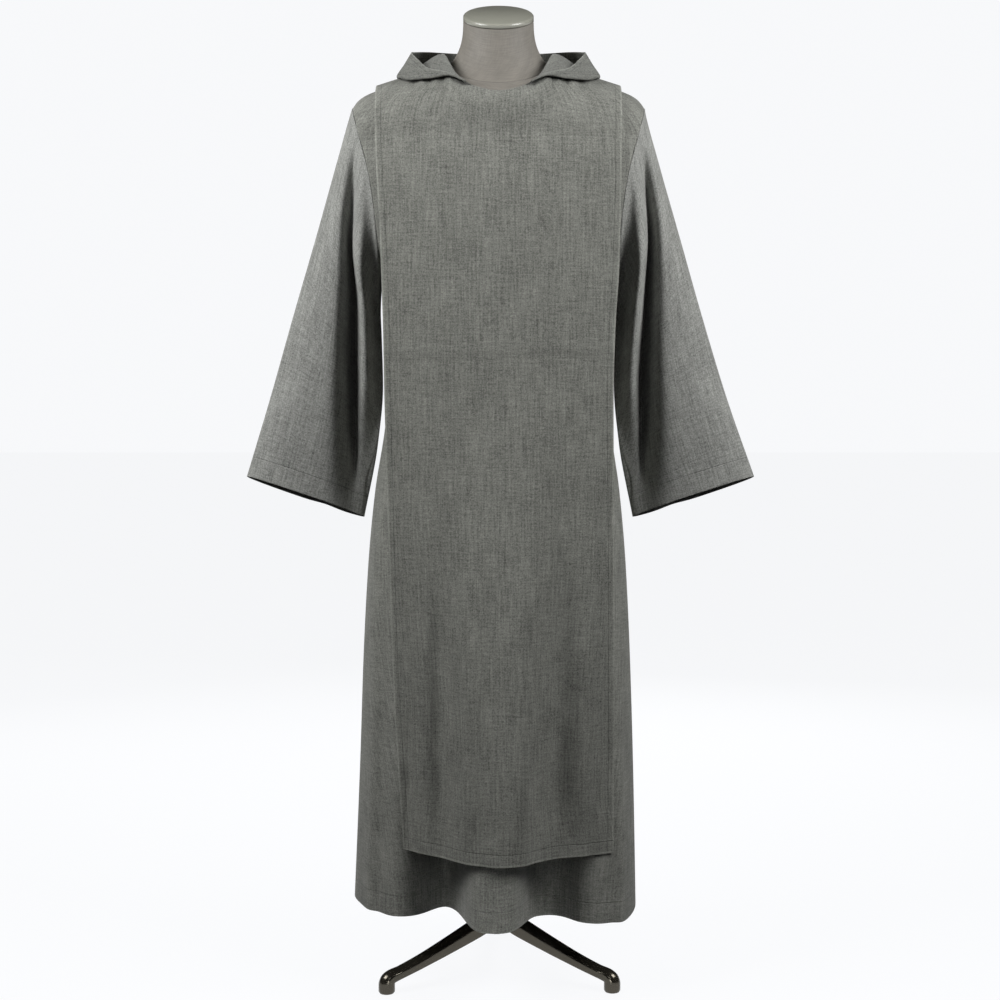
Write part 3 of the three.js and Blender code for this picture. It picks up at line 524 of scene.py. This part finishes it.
# Each fold down a sleeve's front: how far along, where it is across from the outer edge
# to the inner, how far it stands out, and its half width.
SLEEVE_FOLDS = {
    -1: [
        [
            (0.04, 0.2, 0, 0.12), (0.15, 0.4, -40, 0.12), (0.3, 0.6, -78, 0.12),
            (0.5, 0.69, -88, 0.105), (0.75, 0.8, -70, 0.105), (1, 0.93, -12, 0.11),
        ],
        [
            (0.04, 0.4, 0, 0.13), (0.15, 0.62, 10, 0.12), (0.3, 0.8, 20, 0.085),
            (0.5, 0.855, 22, 0.065), (0.75, 0.9, 14, 0.07), (1, 0.97, 0, 0.1),
        ],
        [
            (0.04, 0.8, 0, 0.12), (0.12, 0.92, -32, 0.16), (0.2, 1, -56, 0.2), (0.3, 1, -60, 0.17),
            (0.5, 1, -56, 0.13), (0.75, 1, -40, 0.1), (1, 1, 0, 0.05),
        ],
    ],
    1: [
        [
            (0.04, 0.16, 0, 0.12), (0.15, 0.32, -42, 0.11), (0.3, 0.52, -76, 0.12),
            (0.5, 0.68, -88, 0.11), (0.75, 0.8, -70, 0.105), (1, 0.94, -12, 0.11),
        ],
        [
            (0.04, 0.38, 0, 0.12), (0.15, 0.54, 14, 0.1), (0.3, 0.74, 22, 0.085),
            (0.5, 0.855, 22, 0.065), (0.75, 0.91, 14, 0.07), (1, 0.97, 0, 0.1),
        ],
        [
            (0.04, 0.8, 0, 0.12), (0.12, 0.9, -34, 0.18), (0.2, 0.98, -58, 0.22), (0.3, 1, -62, 0.18),
            (0.5, 1, -56, 0.13), (0.75, 1, -40, 0.1), (1, 1, 0, 0.05),
        ],
    ],
}
armhole_heights = curves(
    "z",
    [(4, YOKE), (5, 1412), (6, 1372), (7, 1330), (8, 1290), (9, 1255), (10, 1228), (11, UNDERARM)],
)


def armhole_line(face, side, share):
    """The edge of a tunic panel from the shoulder tip (0) down to the underarm (1)."""
    tip = np.array([side * TIP], float)
    step = share * 11
    shoulder = tunic_panel(face, tip, np.clip(step / 4, 0, 1), np.zeros(0))[:, 0]
    lower = tunic_level(face, np.full_like(step, side), armhole_heights(step)["z"])
    return np.where((step < 4)[:, None], shoulder, lower)


def sleeve_points(side, along, turn):
    """The sleeve at a share of its length and a turn round it: an oval round the line
    from its outer to its inner edge, with the folds' bumps on its front and a long
    hollow down its back, that blends from the armhole's own line."""
    s = sleeve_section(along)
    folds = [curves("at out wide", rows)(along) for rows in SLEEVE_FOLDS[side]]
    drift = np.clip(folds[0]["at"] - 0.5, -0.2, 0.2) * ease(along, 0.1, 0.3)
    even = (1 - np.cos(turn)) / 2
    is_front = turn < math.pi
    across = np.where(is_front, even + drift * 4 * even * (1 - even), even)
    bow = np.clip(4 * across * (1 - across), 0, None) ** 0.4
    out = sum(f["out"] * ridge(across, f["at"], f["wide"]) for f in folds)
    hollow = 22 * ridge(across, 0.42 + 0.25 * along, 0.12) - 7 * ridge(across, 0.68 + 0.15 * along, 0.1)
    y = np.where(is_front, -(s["front"] + out) * bow, (s["back"] - hollow * ease(along, 0.1, 0.45)) * bow)
    valley = folds[0]
    leant = 0.05 * ridge(across, valley["at"] + valley["wide"] * 0.95, valley["wide"] * 0.7)
    across = np.where(is_front, across - leant * ease(-valley["out"], 10, 50), across)
    out_x = s["out_left"] if side < 0 else s["out_right"]
    lean = CUFF_LEAN * ease(along, 0.2, 1)
    free = np.stack(
        [side * mix(out_x, s["in_x"], across), y, mix(s["out_z"], s["in_z"], across) - lean * y],
        axis=-1,
    )
    front = armhole_line(-1, side, turn[0] / math.pi)
    back = armhole_line(1, side, 2 - turn[0] / math.pi)
    hole = np.where((turn[0] < math.pi)[:, None], front, back) + (side * ARMHOLE_GAP, 0, 0)
    return mix(hole[None], free, ease(along, 0, 0.2)[..., None])


# The sleeves' wool is the tunic's painted lighter: painted light for the stronger light that falls on the
# sleeves.
sleeve_wool_painted_light = wool("sleeve_wool_painted_light", (0.266, 0.27, 0.254), SEWN, 0.034, 0.034)
FRONT_TURNS = 88
SLEEVE_TURNS = np.concatenate(
    [np.linspace(0, math.pi, FRONT_TURNS + 1)[:-1], np.linspace(math.pi, 2 * math.pi, 61)[:-1]]
)
SLEEVE_ROWS = np.concatenate([np.linspace(0, 0.2, 24)[:-1], np.linspace(0.2, 1, 76)])
# Each sleeve's width is all round it at the armhole.
for name, side, flat, area in (
    ("sleeve_left", -1, (0.768, 0.656), 0.296),
    ("sleeve_right", 1, (0.768, 0.658), 0.303),
):
    along, turn = np.meshgrid(SLEEVE_ROWS, SLEEVE_TURNS, indexing="ij")
    grid = sleeve_points(side, along, turn)
    sleeve = cloth(name + "_cloth", grid, sleeve_wool_painted_light, turn=side, seam=FRONT_TURNS, sewn_sides=True)
    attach(sleeve, "root")
    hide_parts(name)

# ------------------------------------------------------------------ scapular
# The long loose panel worn over the tunic, front and back, joined on the shoulders and
# open at the sides. Its side edges and foot are turned under and stitched.
SCAPULAR_HEM = 246
SCAPULAR_TOP = 206
LEFT_CORNER_UP = 7
RIGHT_CORNER_UP = 3
scapular_rows = {
    -1: curves(
        "left right left_edge right_edge middle",
        [
            (246, 158, 191, 138, 140, 233.8),
            (498, 173, 192, 117, 132, 206),
            (701, 180, 192, 116, 124, 180),
            (850, 184, 191, 116, 118, 160),
            (1000, 188, 190, 118, 118, 147),
            (1120, 190, 193, 118, 114, 143),
            (1215, 193, 199, 116, 110, 141),
            (1330, 198, 202, 109, 106, 136),
            (1388, 202, 203, 104, 103, 128),
            (YOKE, 204, 204, 92, 92, 117),
        ],
    ),
    1: curves(
        "left right left_edge right_edge middle",
        [
            (246, 176, 170, 142, 146, 214),
            (498, 180, 174, 134, 138, 190),
            (701, 184, 180, 126, 128, 168),
            (850, 188, 186, 118, 118, 152),
            (1000, 192, 191, 112, 112, 138),
            (1166, 200, 200, 106, 106, 129),
            (1330, 205, 205, 101, 101, 125),
            (1388, 205, 205, 100, 100, 122),
            (YOKE, 204, 204, 90, 90, 115),
        ],
    ),
}
scapular_across = {
    -1: curves(
        "low high",
        [
            (-1, 0, 0), (-0.79, 0.25, 0.45), (-0.48, 0.6, 0.83), (-0.18, 0.87, 0.98), (0, 1, 1),
            (0.2, 0.86, 0.98), (0.37, 0.6, 0.9), (0.62, 0.36, 0.68), (1, 0, 0),
        ],
    ),
    1: curves(
        "low high",
        [(-1, 0, 0), (-0.55, 0.4, 0.78), (-0.12, 1, 1), (0.35, 0.5, 0.92), (0.65, 0.55, 0.6), (1, 0, 0)],
    ),
}
# Soft troughs and ridges: where across in mm, from and to which height, how far out, and
# the half width. One that starts at the hem is full there, and any other in its middle.
SCAPULAR_CREASES = {
    -1: [
        (-48, 246, 900, 13, 21), (-98, 246, 960, -14, 20), (36, 246, 860, 10, 18),
        (98, 246, 980, -17, 26), (148, 246, 800, 8, 17), (-134, 246, 760, 1.5, 20),
        (-8, 300, 1000, -5, 15), (64, 560, 980, 3, 17), (-30, 760, 1140, -2.6, 19),
        (128, 760, 1180, -2.2, 18), (-92, 900, 1300, 2.4, 22), (40, 1020, 1380, -2.2, 20),
        (0, 1180, 1460, 1.8, 26), (100, 1150, 1430, -1.8, 22),
    ],
    1: [
        (-40, 246, 900, 7, 18), (20, 246, 840, -8, 18), (84, 246, 790, 6, 19),
        (-96, 246, 860, -7, 20), (-132, 246, 720, 3.5, 18), (128, 300, 860, -5, 16),
        (0, 640, 1180, 3, 20), (60, 820, 1340, -2.6, 22), (-70, 900, 1320, 2.4, 22),
    ],
}
# The pleats that the hood's weight presses into the cloth beside the neck.
NECK_PUCKERS = [
    (78, 1.6, 4), (89, -3.4, 3.6), (101, 2.6, 4), (113, -3.6, 3.8),
    (125, 2.4, 4.4), (138, -3, 4.2), (152, 1.5, 5),
]
PACKING_CREASE = 1079
RELIEF_AT_HEM = 0.38


def soft_max(a, b, soft):
    """The larger of two depths, with a soft change between them."""
    return (a + b + np.hypot(a - b, soft)) / 2


def scapular_level(face, share, z):
    """Edge depth to middle depth by the shape across, kept outside the tunic."""
    s = scapular_rows[face](z)
    x = share * np.where(share < 0, s["left"], s["right"])
    shape = scapular_across[face](share)
    bow = mix(shape["low"], shape["high"], ease(z, SCAPULAR_HEM, 1000))
    own = mix(np.where(share < 0, s["left_edge"], s["right_edge"]), s["middle"], bow)
    t = tunic_section(z)
    tunic_share = np.clip(x / np.where(x < 0, t["left"], t["right"]), -1, 1)
    under = np.abs(tunic_level(face, tunic_share, z)[..., 1])
    under = under + CLOTH + mix(1.4, 0.45, ease(z, 900, 1300))
    out = soft_max(own, under, 1.6)
    relief = 0
    for middle, low, high, stands, wide in SCAPULAR_CREASES[face]:
        if low == SCAPULAR_HEM:
            grown = 1 - ease(z, mix(low, high, 0.35), high)
        else:
            grown = ridge(z, (low + high) / 2, (high - low) / 2.6)
        relief = relief + stands * grown * ridge(x, middle * (1 + 0.05 * np.sin(z / 170 + middle)), wide)
    crease_z = PACKING_CREASE + 4 * np.sin(x / 60)
    relief = relief + (1.3 * ridge(z, crease_z, 5) - 0.9 * ridge(z, crease_z - 11, 6)) * (face < 0)
    relief = relief * mix(RELIEF_AT_HEM, 1, ease(z, SCAPULAR_HEM, 350))
    relief = relief + 1.5 * ease(np.abs(share), 0.93, 1) * (1 - ease(z, 1250, 1420))
    room = np.clip((out - under) / 6, 0, 1)
    return np.stack([x, face * (out + np.where(relief > 0, relief, relief * room)), z], axis=-1)


# The height of the cloth over the seam line of the shoulders, and under the neck opening
# the height it would have there; and how square its way down to the chest is.
scapular_crown = curves(
    "front back square",
    [
        (0, 1529, 1549, 4), (30, 1529.5, 1550, 3.9), (54, 1533, 1553, 3.4), (66, 1544, 1558, 3.0),
        (76, 1556, 1562, 2.6), (84, 1564.5, 1566, 2.3), (90, 1567.5, 1567.5, 2.1), (96, 1566, 1566, 2),
        (104, 1562.5, 1562.5, 2), (125, 1555.4, 1555.4, 2), (170, 1542.7, 1542.7, 2),
        (SCAPULAR_TOP, 1531.5, 1531.5, 2),
    ],
)
NECK_DEPTH = {-1: 107.4, 1: 101.5}


def scapular_shoulder(face, x, yoke, steps):
    """From the neckline or the shoulder seam down to the yoke points, along a rounded
    square: height falls by (1 - share of depth to the power n) to the power 1 / n."""
    crown = scapular_crown(np.abs(x))
    n = crown["square"]
    top = crown["front" if face < 0 else "back"]
    opening = NECK_DEPTH[face] * np.sqrt(np.clip(1 - (x / NECK) ** 2, 0, None))
    reach = np.abs(yoke[:, 1])
    first = np.arcsin(np.clip(opening / reach, 0, 1) ** (n / 2))
    turn = mix(first[None, :], math.pi / 2, steps[:, None])
    deep = np.sin(turn) ** (2 / n)
    tall = np.clip(np.cos(turn), 0, None) ** (2 / n)
    return np.stack(
        [
            mix(x, yoke[:, 0], 1 - np.cos(turn)),
            face * np.maximum(HALF_SEAM, deep * reach),
            mix(yoke[:, 2], top, tall),
        ],
        axis=-1,
    )


def scapular_panel(face, x, shoulder_steps, heights):
    """A panel's grid: its shoulder rows with the puckers added, then its level rows, where
    the front's hem rides up towards its corners by the square of the share across."""
    share = hang_share(x) / hang_share(SCAPULAR_TOP)
    yoke = scapular_level(face, share, np.full_like(x, YOKE))
    top = scapular_shoulder(face, x, yoke, shoulder_steps)
    for place, stands, wide in NECK_PUCKERS:
        fade = ridge(top[..., 2], 1520, 17) * (face < 0)
        bump = stands * fade * (ridge(top[..., 0], place, wide) + ridge(top[..., 0], -place * 1.02, wide))
        top[..., 1] -= 0.8 * bump
        top[..., 2] += 0.6 * bump
    levels = scapular_level(face, *np.broadcast_arrays(share[None, :], heights[:, None]))
    if face < 0:
        rides_up = np.where(share < 0, LEFT_CORNER_UP, RIGHT_CORNER_UP) * share**2
        levels[..., 2] += rides_up * (1 - ease(levels[..., 2], SCAPULAR_HEM, 520))
    return np.concatenate([top, levels])


scapular_wool = wool("scapular_wool", (0.174, 0.177, 0.159), 0.011, 0.02, 0.02, painted_edge_highlight=0.42)
SCAPULAR_HEIGHTS = np.concatenate([np.linspace(1434, 1218, 34), np.linspace(1210, SCAPULAR_HEM, 116)])
for name, face, flat, area, below in (
    ("scapular_front", -1, (0.585, 1.39), 0.537, "tunic_front_cloth"),
    ("scapular_back", 1, (0.56, 1.388), 0.529, "tunic_back_cloth"),
):
    grid = scapular_panel(face, top_places(SCAPULAR_TOP, 34, 34), np.linspace(0, 1, 26), SCAPULAR_HEIGHTS)
    panel = cloth(name + "_cloth", grid, scapular_wool, turn=face)
    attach(panel, "root")
    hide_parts(name)

# ------------------------------------------------------------------ hood
# The hood laid back on the shoulders: two halves of the scapular's wool joined up the
# middle of the back and sewn to the neckline, with a hemmed rim round the face opening.
hood_station = curves(
    "seam_turn rx ry rz bx by bz ox oy oz",
    [
        (0, 30, 50, -99.2, 1521, 53, -100.6, 1523.4, 57, -98.6, 1526.4),
        (0.1, 48, 72, -79, 1542.8, 84, -93.6, 1535, 89, -88, 1541),
        (0.2, 59, 82, -52, 1563, 112, -84, 1532, 116, -72, 1550),
        (0.31, 74, 92, -24, 1583, 144, -73, 1531, 136, -42, 1571),
        (0.43, 90, 98, 2, 1586, 169, -47, 1540, 147, -6, 1588),
        (0.56, 106, 96, 32, 1587, 171, 22, 1545.5, 145, 36, 1596),
        (0.72, 130, 82, 66, 1584, 134, 114, 1470, 116, 88, 1606),
        (0.87, 155, 48, 98, 1578, 70, 158, 1370, 64, 128, 1611),
        (1, 180, 0, 110, 1574, 0, 176, 1320, 0, 140, 1612),
    ],
)


def neckline(turn):
    """The scapular's neckline on one side, by degrees from the front to the back."""
    x = NECK * np.sin(np.radians(turn))
    share = hang_share(x) / hang_share(SCAPULAR_TOP)
    top_row = np.zeros(1)
    yoke_z = np.full_like(x, YOKE)
    front = scapular_shoulder(-1, x, scapular_level(-1, share, yoke_z), top_row)[0]
    back = scapular_shoulder(1, x, scapular_level(1, share, yoke_z), top_row)[0]
    return np.where((turn < 90)[:, None], front, back)


def through(knots, steps):
    """A centripetal curve through rows of knots, one curve a column, at even distances."""
    padded = np.concatenate([2 * knots[:1] - knots[1:2], knots, 2 * knots[-1:] - knots[-2:-1]])
    gaps = np.maximum(np.linalg.norm(np.diff(padded, axis=0), axis=-1), 1e-6) ** 0.5
    t = np.linspace(0, 1, 25)[:-1, None, None]
    pieces = []
    for k in range(len(knots) - 1):
        p0, p1, p2, p3 = padded[k : k + 4]
        g0, g1, g2 = (g[:, None] for g in gaps[k : k + 3])
        start = ((p1 - p0) / g0 - (p2 - p0) / (g0 + g1) + (p2 - p1) / g1) * g1
        end = ((p2 - p1) / g1 - (p3 - p1) / (g1 + g2) + (p3 - p2) / g2) * g1
        rise = p2 - p1
        pieces.append(p1 + t * (start + t * (3 * rise - 2 * start - end + t * (start + end - 2 * rise))))
    line = np.concatenate(pieces + [knots[-1:]])
    far = lengths(line, 0)
    far = far / far[-1:]
    even = np.linspace(0, 1, steps)
    columns = []
    for j in range(line.shape[1]):
        columns.append(np.stack([np.interp(even, far[:, j], line[:, j, c]) for c in range(3)], -1))
    return np.stack(columns, axis=1)


# The hood's wool is the scapular's painted darker: painted shade for the hollows round the neck.
hood_wool_painted_shade = wool("hood_wool_painted_shade", (0.152, 0.155, 0.141), SEWN, 0.012, 0.013, painted_edge_highlight=0.42)
RIM_CURL = (-3, -16, -2)
HOOD_PLACES = np.linspace(0, 1, 97)
for name, side in (("hood_left", -1), ("hood_right", 1)):
    s = hood_station(HOOD_PLACES)
    seam = neckline(s["seam_turn"]) + (0, 0, 1.5)
    crest = np.stack([s["rx"], s["ry"], s["rz"]], -1)
    bottom = np.stack([s["bx"], s["by"], s["bz"]], -1)
    curl = ease(HOOD_PLACES, 0.36, 0.66)[:, None]
    rim = np.stack([s["ox"], s["oy"], s["oz"]], -1) + curl * RIM_CURL
    grid = through(np.stack([seam, crest, (crest + bottom) / 2, bottom, (bottom + rim) / 2, rim]), 74)
    grid = (grid + (HALF_SEAM, 0, 0)) * (side, 1, 1)
    half = cloth(name + "_cloth", grid, hood_wool_painted_shade, turn=side, grain=1, sewn_sides=True)
    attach(half, "root")
    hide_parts(name)

# ------------------------------------------------------------------ dress form
# A limbless torso and neck, padded and covered in natural linen with a fine crosswise
# weave. The neck's cover is a piece of its own, sewn to the torso's along a low curve.
form_section = curves(
    "wide edge front back box ends",
    [
        (800, 158, 0, 96, 108, 2.2, 0.5),
        (900, 160, 0, 100, 108, 2.2, 0.5),
        (1040, 142, 0, 104, 94, 2.2, 0.5),
        (1190, 166, 0, 116, 104, 2.3, 0.5),
        (1262, 184, 36, 120, 110, 2.4, 0.6),
        (1340, 200, 60, 120, 113, 2.4, 0.8),
        (YOKE, 228, 69.5, 110.5, 108.2, 2.3, 1),
    ],
)
FORM_TOP = dict(
    seam=0, lift=-3.6, tip_lift=-3.1,
    front=78.5, front_z=1525, front_start=0,
    back=77.8, back_z=1543.4, back_start=0,
)
FORM_TIP = 232
CAP_TILT = math.radians(26)
CAP_MIDDLE = (0, 2, 1645)
CAP_RADIUS = (60, 65.5)


def form_level(face, share, z):
    """The torso's section: a superellipse from its edge's depth to its middle's."""
    s = form_section(z)
    full = share * mix(1 / hang_share(FORM_TIP), 1, ease(z, 1262, YOKE))
    bow = np.clip(1 - np.abs(full) ** s["box"], 0, None) ** s["ends"]
    y = face * mix(s["edge"], s["front"] if face < 0 else s["back"], bow)
    return np.stack([full * s["wide"], y, z], axis=-1)


def cap_points(turn, radius_x, radius_y, up):
    """Points over the cap's tilted plane, at a turn from the front."""
    forward = -np.cos(turn) * radius_y
    return np.stack(
        [
            np.sin(turn) * radius_x,
            CAP_MIDDLE[1] + forward * math.cos(CAP_TILT) - up * math.sin(CAP_TILT),
            CAP_MIDDLE[2] + forward * math.sin(CAP_TILT) + up * math.cos(CAP_TILT),
        ],
        axis=-1,
    )


def solid(name, rings, finish, start_row=0):
    """A closed piece through rings of points in mm, with a fan on each end ring. Its UV
    map is metres round the ring and metres along from the ring numbered start_row."""
    rows, cols = rings.shape[:2]
    i, j = np.meshgrid(np.arange(rows - 1), np.arange(cols), indexing="ij")
    k = (j + 1) % cols
    quads = np.stack([i * cols + j, i * cols + k, (i + 1) * cols + k, (i + 1) * cols + j], -1).reshape(-1, 4)
    ends = np.arange(cols)
    last = (rows - 1) * cols
    fans = [
        np.stack([np.full(cols, rows * cols), (ends + 1) % cols, ends], -1),
        np.stack([np.full(cols, rows * cols + 1), last + ends, last + (ends + 1) % cols], -1),
    ]
    middles = np.stack([rings[0].mean(0), rings[-1].mean(0)])
    places = (np.concatenate([rings.reshape(-1, 3), middles]) + (-POLE_TO_MIDDLE, 0, 0)) * 0.001
    mesh = bpy.data.meshes.new(name)
    mesh.from_pydata(places.tolist(), [], quads.tolist() + fans[0].tolist() + fans[1].tolist())
    mesh.polygons.foreach_set("use_smooth", np.ones(len(mesh.polygons), bool))
    closed_rings = np.concatenate([rings, rings[:, :1]], 1)
    down = lengths(closed_rings, 0)
    down = down - down[start_row]
    flat = np.stack([lengths(closed_rings, 1), down], -1) * 0.001
    corners = np.concatenate([flat[i, j], flat[i, j + 1], flat[i + 1, j + 1], flat[i + 1, j]], -1)
    corners = corners.reshape(-1, 2)
    uv = mesh.uv_layers.new(name="round")
    fan_corners = np.zeros((6 * cols, 2))
    uv.data.foreach_set("uv", np.concatenate([corners, fan_corners]).astype(np.float32).ravel())
    mesh.materials.append(finish)
    piece = bpy.data.objects.new(name, mesh)
    bpy.context.scene.collection.objects.link(piece)
    return piece


def linen_finish():
    """Plain linen: fine threads across, a slub here and there, and a fainter grain down.
    The neck's seam is a thin dark line where the UV map starts, with a turned edge on it that is painted a
    little lighter, a painted highlight."""
    material, shader, start = new_finish("form_linen", 0.62, sheen=0.05)
    shader.inputs["Specular IOR Level"].default_value = 0.35
    place = start.node("UVMap", {"uv_map": "round"})
    up = place.part(1)
    across = place.streaks((30, 620), 3.0, 0.65)
    down = place.streaks((420, 60), 2.0, 0.6)
    clouds = place.streaks((34, 22), 3.0, 0.6)
    seam = up.line(0.0, 0.0016)
    turned_edge = up.line(0.0035, 0.003)
    # The turned edge beside the seam lightens the tone a little: a painted highlight.
    tone = (1.0 + across * 0.5 + down * 0.28 + clouds * 0.34) * (1.0 - seam * 0.35) + turned_edge * 0.05
    height = across + down * 0.5 - seam * 2.0 + turned_edge * 0.8
    surface(shader, (0.191, 0.178, 0.156), tone, height, 0.45, 0.0005)
    return material


form_linen = linen_finish()
places = top_places(FORM_TIP, 26, 22)
share = hang_share(places)
heights = np.linspace(1434, 800, 70)
halves = []
for face in (-1, 1):
    yoke = form_level(face, share, np.full_like(share, YOKE))
    top = over_shoulder(FORM_TOP, face, places, yoke, np.linspace(0, 1, 12))
    levels = form_level(face, *np.broadcast_arrays(share[None, :], heights[:, None]))
    halves.append(np.concatenate([top, levels]))
torso_rings = np.concatenate([halves[0], halves[1][:, ::-1]], axis=1)[::-1]
neck_side_z = shoulder_line(NECK)["z"] + FORM_TOP["lift"]
neck_base = torso_rings[-1].copy()
outside = np.abs(neck_base[:, 0]) >= NECK - 1e-6
neck_base[outside] = (NECK, 0, neck_side_z)
neck_base[outside, 0] *= np.sign(torso_rings[-1][outside, 0])
neck_turn = np.arctan2(neck_base[:, 0] / NECK, -neck_base[:, 1] / FORM_TOP["front"])
neck_top = cap_points(neck_turn, CAP_RADIUS[0], CAP_RADIUS[1], 0)
rise = np.linspace(0, 1, 40)[1:, None, None]
drawn = 1 - (1 - rise) ** 2.8
neck_plan = mix(neck_base[None, :, :2], neck_top[None, :, :2], drawn)
neck_heights = mix(neck_base[None, :, 2:], neck_top[None, :, 2:], rise)
neck_rings = np.concatenate([neck_plan, neck_heights], axis=-1)
form_rings = np.concatenate([torso_rings, neck_base[None], neck_rings])
form = solid("form_cover", form_rings, form_linen, start_row=len(torso_rings))
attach(form, "root")
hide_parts("dress_form")

# ------------------------------------------------------------------ neck cap
# A turned disc in satin grey paint that closes the neck, tipped forward, with a small
# bevel round its face and a narrow groove under its lip.


def cap_finish():
    """Satin paint: an even grey with a faint orange-peel surface."""
    material, shader, start = new_finish("cap_paint", 0.34)
    shader.inputs["Coat Weight"].default_value = 0.6
    shader.inputs["Coat Roughness"].default_value = 0.12
    place = start.node("TexCoord", out=3)
    peel = place.specks(900.0)
    dust = place.specks(60.0, 3.0)
    surface(shader, (0.3, 0.3, 0.255), 1.0 + dust * 0.1, peel, 0.25, 0.0002)
    return material


# How far the disc's outline stands out from the neck's top, and how far up its axis.
CAP_PROFILE = [
    (-3.5, 0.3), (-3.2, 0.8), (-1.2, 0.9), (-0.3, 1.1), (0, 1.7),
    (0, 5.4), (-0.2, 6.2), (-1.2, 7.6), (-2.6, 8.7), (-3.4, 9.0),
]
around = np.linspace(0, 2 * math.pi, 161)[:-1]
cap_rings = [cap_points(around, CAP_RADIUS[0] + grow, CAP_RADIUS[1] + grow, up) for grow, up in CAP_PROFILE]
cap = solid("cap_disc", np.stack(cap_rings), cap_finish())
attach(cap, "root")
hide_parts("neck_cap")

# ------------------------------------------------------------------ stand
# A round pole, a turned hub and three cast legs with a ridge along the top, all in one
# polished dark bronze nickel finish. Each leg turns down into a round foot.


def nickel_finish():
    """Polished dark nickel over bronze: nearly even, with a little cloudiness in its gloss."""
    material, shader, start = new_finish("stand_metal", 0.22, metallic=0.75)
    place = start.node("TexCoord", out=3)
    cloud = place.specks(30.0, 4.0)
    rub = place.specks(400.0)
    start.tree.links.new((0.2 + cloud * 0.1 + rub * 0.04).socket, shader.inputs["Roughness"])
    surface(shader, (0.088, 0.08, 0.063), 1.0 + cloud * 0.25, rub, 0.1, 0.0002)
    return material


def turned(name, profile, finish, steps=72):
    """A turned piece from pairs of radius and height, in mm round the pole."""
    turn = np.linspace(0, 2 * math.pi, steps + 1)[:-1]
    profile = np.array(profile, float)
    radius, z = profile[:, :1], profile[:, 1:]
    return solid(name, np.stack([radius * np.cos(turn), radius * np.sin(turn), z + 0 * turn], -1), finish)


stand_metal = nickel_finish()
pole = turned("pole_tube", [(15, 118.3), (16, 119.3), (16, 420), (16, 798.7), (15, 799.7)], stand_metal)
HUB_PROFILE = [
    (20, 76), (22.6, 76.6), (25.6, 78.6), (26.8, 80.6), (27, 83),
    (27, 110), (26.6, 113), (25.2, 116), (23, 117.6), (21, 118),
]
hub = turned("hub_boss", HUB_PROFILE, stand_metal)
leg_station = curves(
    "z down wide thick round",
    [
        (0, 94, 0, 30, 33, 0),
        (32.6, 81, 20, 29, 30, 0),
        (82.6, 62, 20, 28, 25, 0),
        (132.6, 44, 20, 27, 21, 0.1),
        (166.6, 33, 20, 27, 20, 0.3),
        (182.6, 28, 34, 28, 23, 0.6),
        (190.6, 22, 64, 28, 26, 0.9),
        (197.6, 15, 90, 28, 28, 1),
        (209.6, 3, 90, 28, 28, 1),
        (212.6, 0, 90, 24, 24, 1),
    ],
)
leg_out = curves(
    "out",
    [(0, 27.4), (166.6, 194), (182.6, 210), (190.6, 218), (197.6, 220), (212.6, 220)],
)
RIDGED = np.array(
    [
        (-0.47, -0.5), (-0.2, -0.5), (0.2, -0.5), (0.47, -0.5), (0.5, -0.46), (0.5, -0.17), (0.5, 0.08),
        (0.48, 0.14), (0.34, 0.25), (0.17, 0.38), (0.05, 0.475), (0, 0.49), (-0.05, 0.475), (-0.17, 0.38),
        (-0.34, 0.25), (-0.48, 0.14), (-0.5, 0.08), (-0.5, -0.17), (-0.5, -0.46),
    ]
)


def leg_rings(degrees):
    """The ridged section carried out from the hub and down into the foot, where it
    becomes a circle."""
    at = np.concatenate([np.linspace(0, 160, 18), np.linspace(166, 197, 18), [203, 209.6, 212.6]])
    s = leg_station(at)
    out = leg_out(at)["out"][:, None]
    down = np.radians(s["down"])[:, None]
    turn = np.arctan2(RIDGED[:, 1], RIDGED[:, 0])
    side = mix(RIDGED[:, 0], np.cos(turn) / 2, s["round"][:, None]) * s["wide"][:, None]
    up = mix(RIDGED[:, 1], np.sin(turn) / 2, s["round"][:, None]) * s["thick"][:, None]
    x = out + up * np.sin(down)
    z = s["z"][:, None] + up * np.cos(down)
    a = math.radians(degrees)
    return np.stack([x * math.cos(a) - side * math.sin(a), x * math.sin(a) + side * math.cos(a), z], -1)


stand = [(pole, "stand_pole"), (hub, "stand_hub")]
for name, degrees in (("left", 211), ("right", 331), ("rear", 91)):
    stand.append((solid("leg_" + name, leg_rings(degrees), stand_metal), "stand_leg_" + name))
for piece, node in stand:
    edge = piece.modifiers.new("crisp", "EDGE_SPLIT")
    edge.split_angle = math.radians(34)
    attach(piece, "root")
    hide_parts(node)
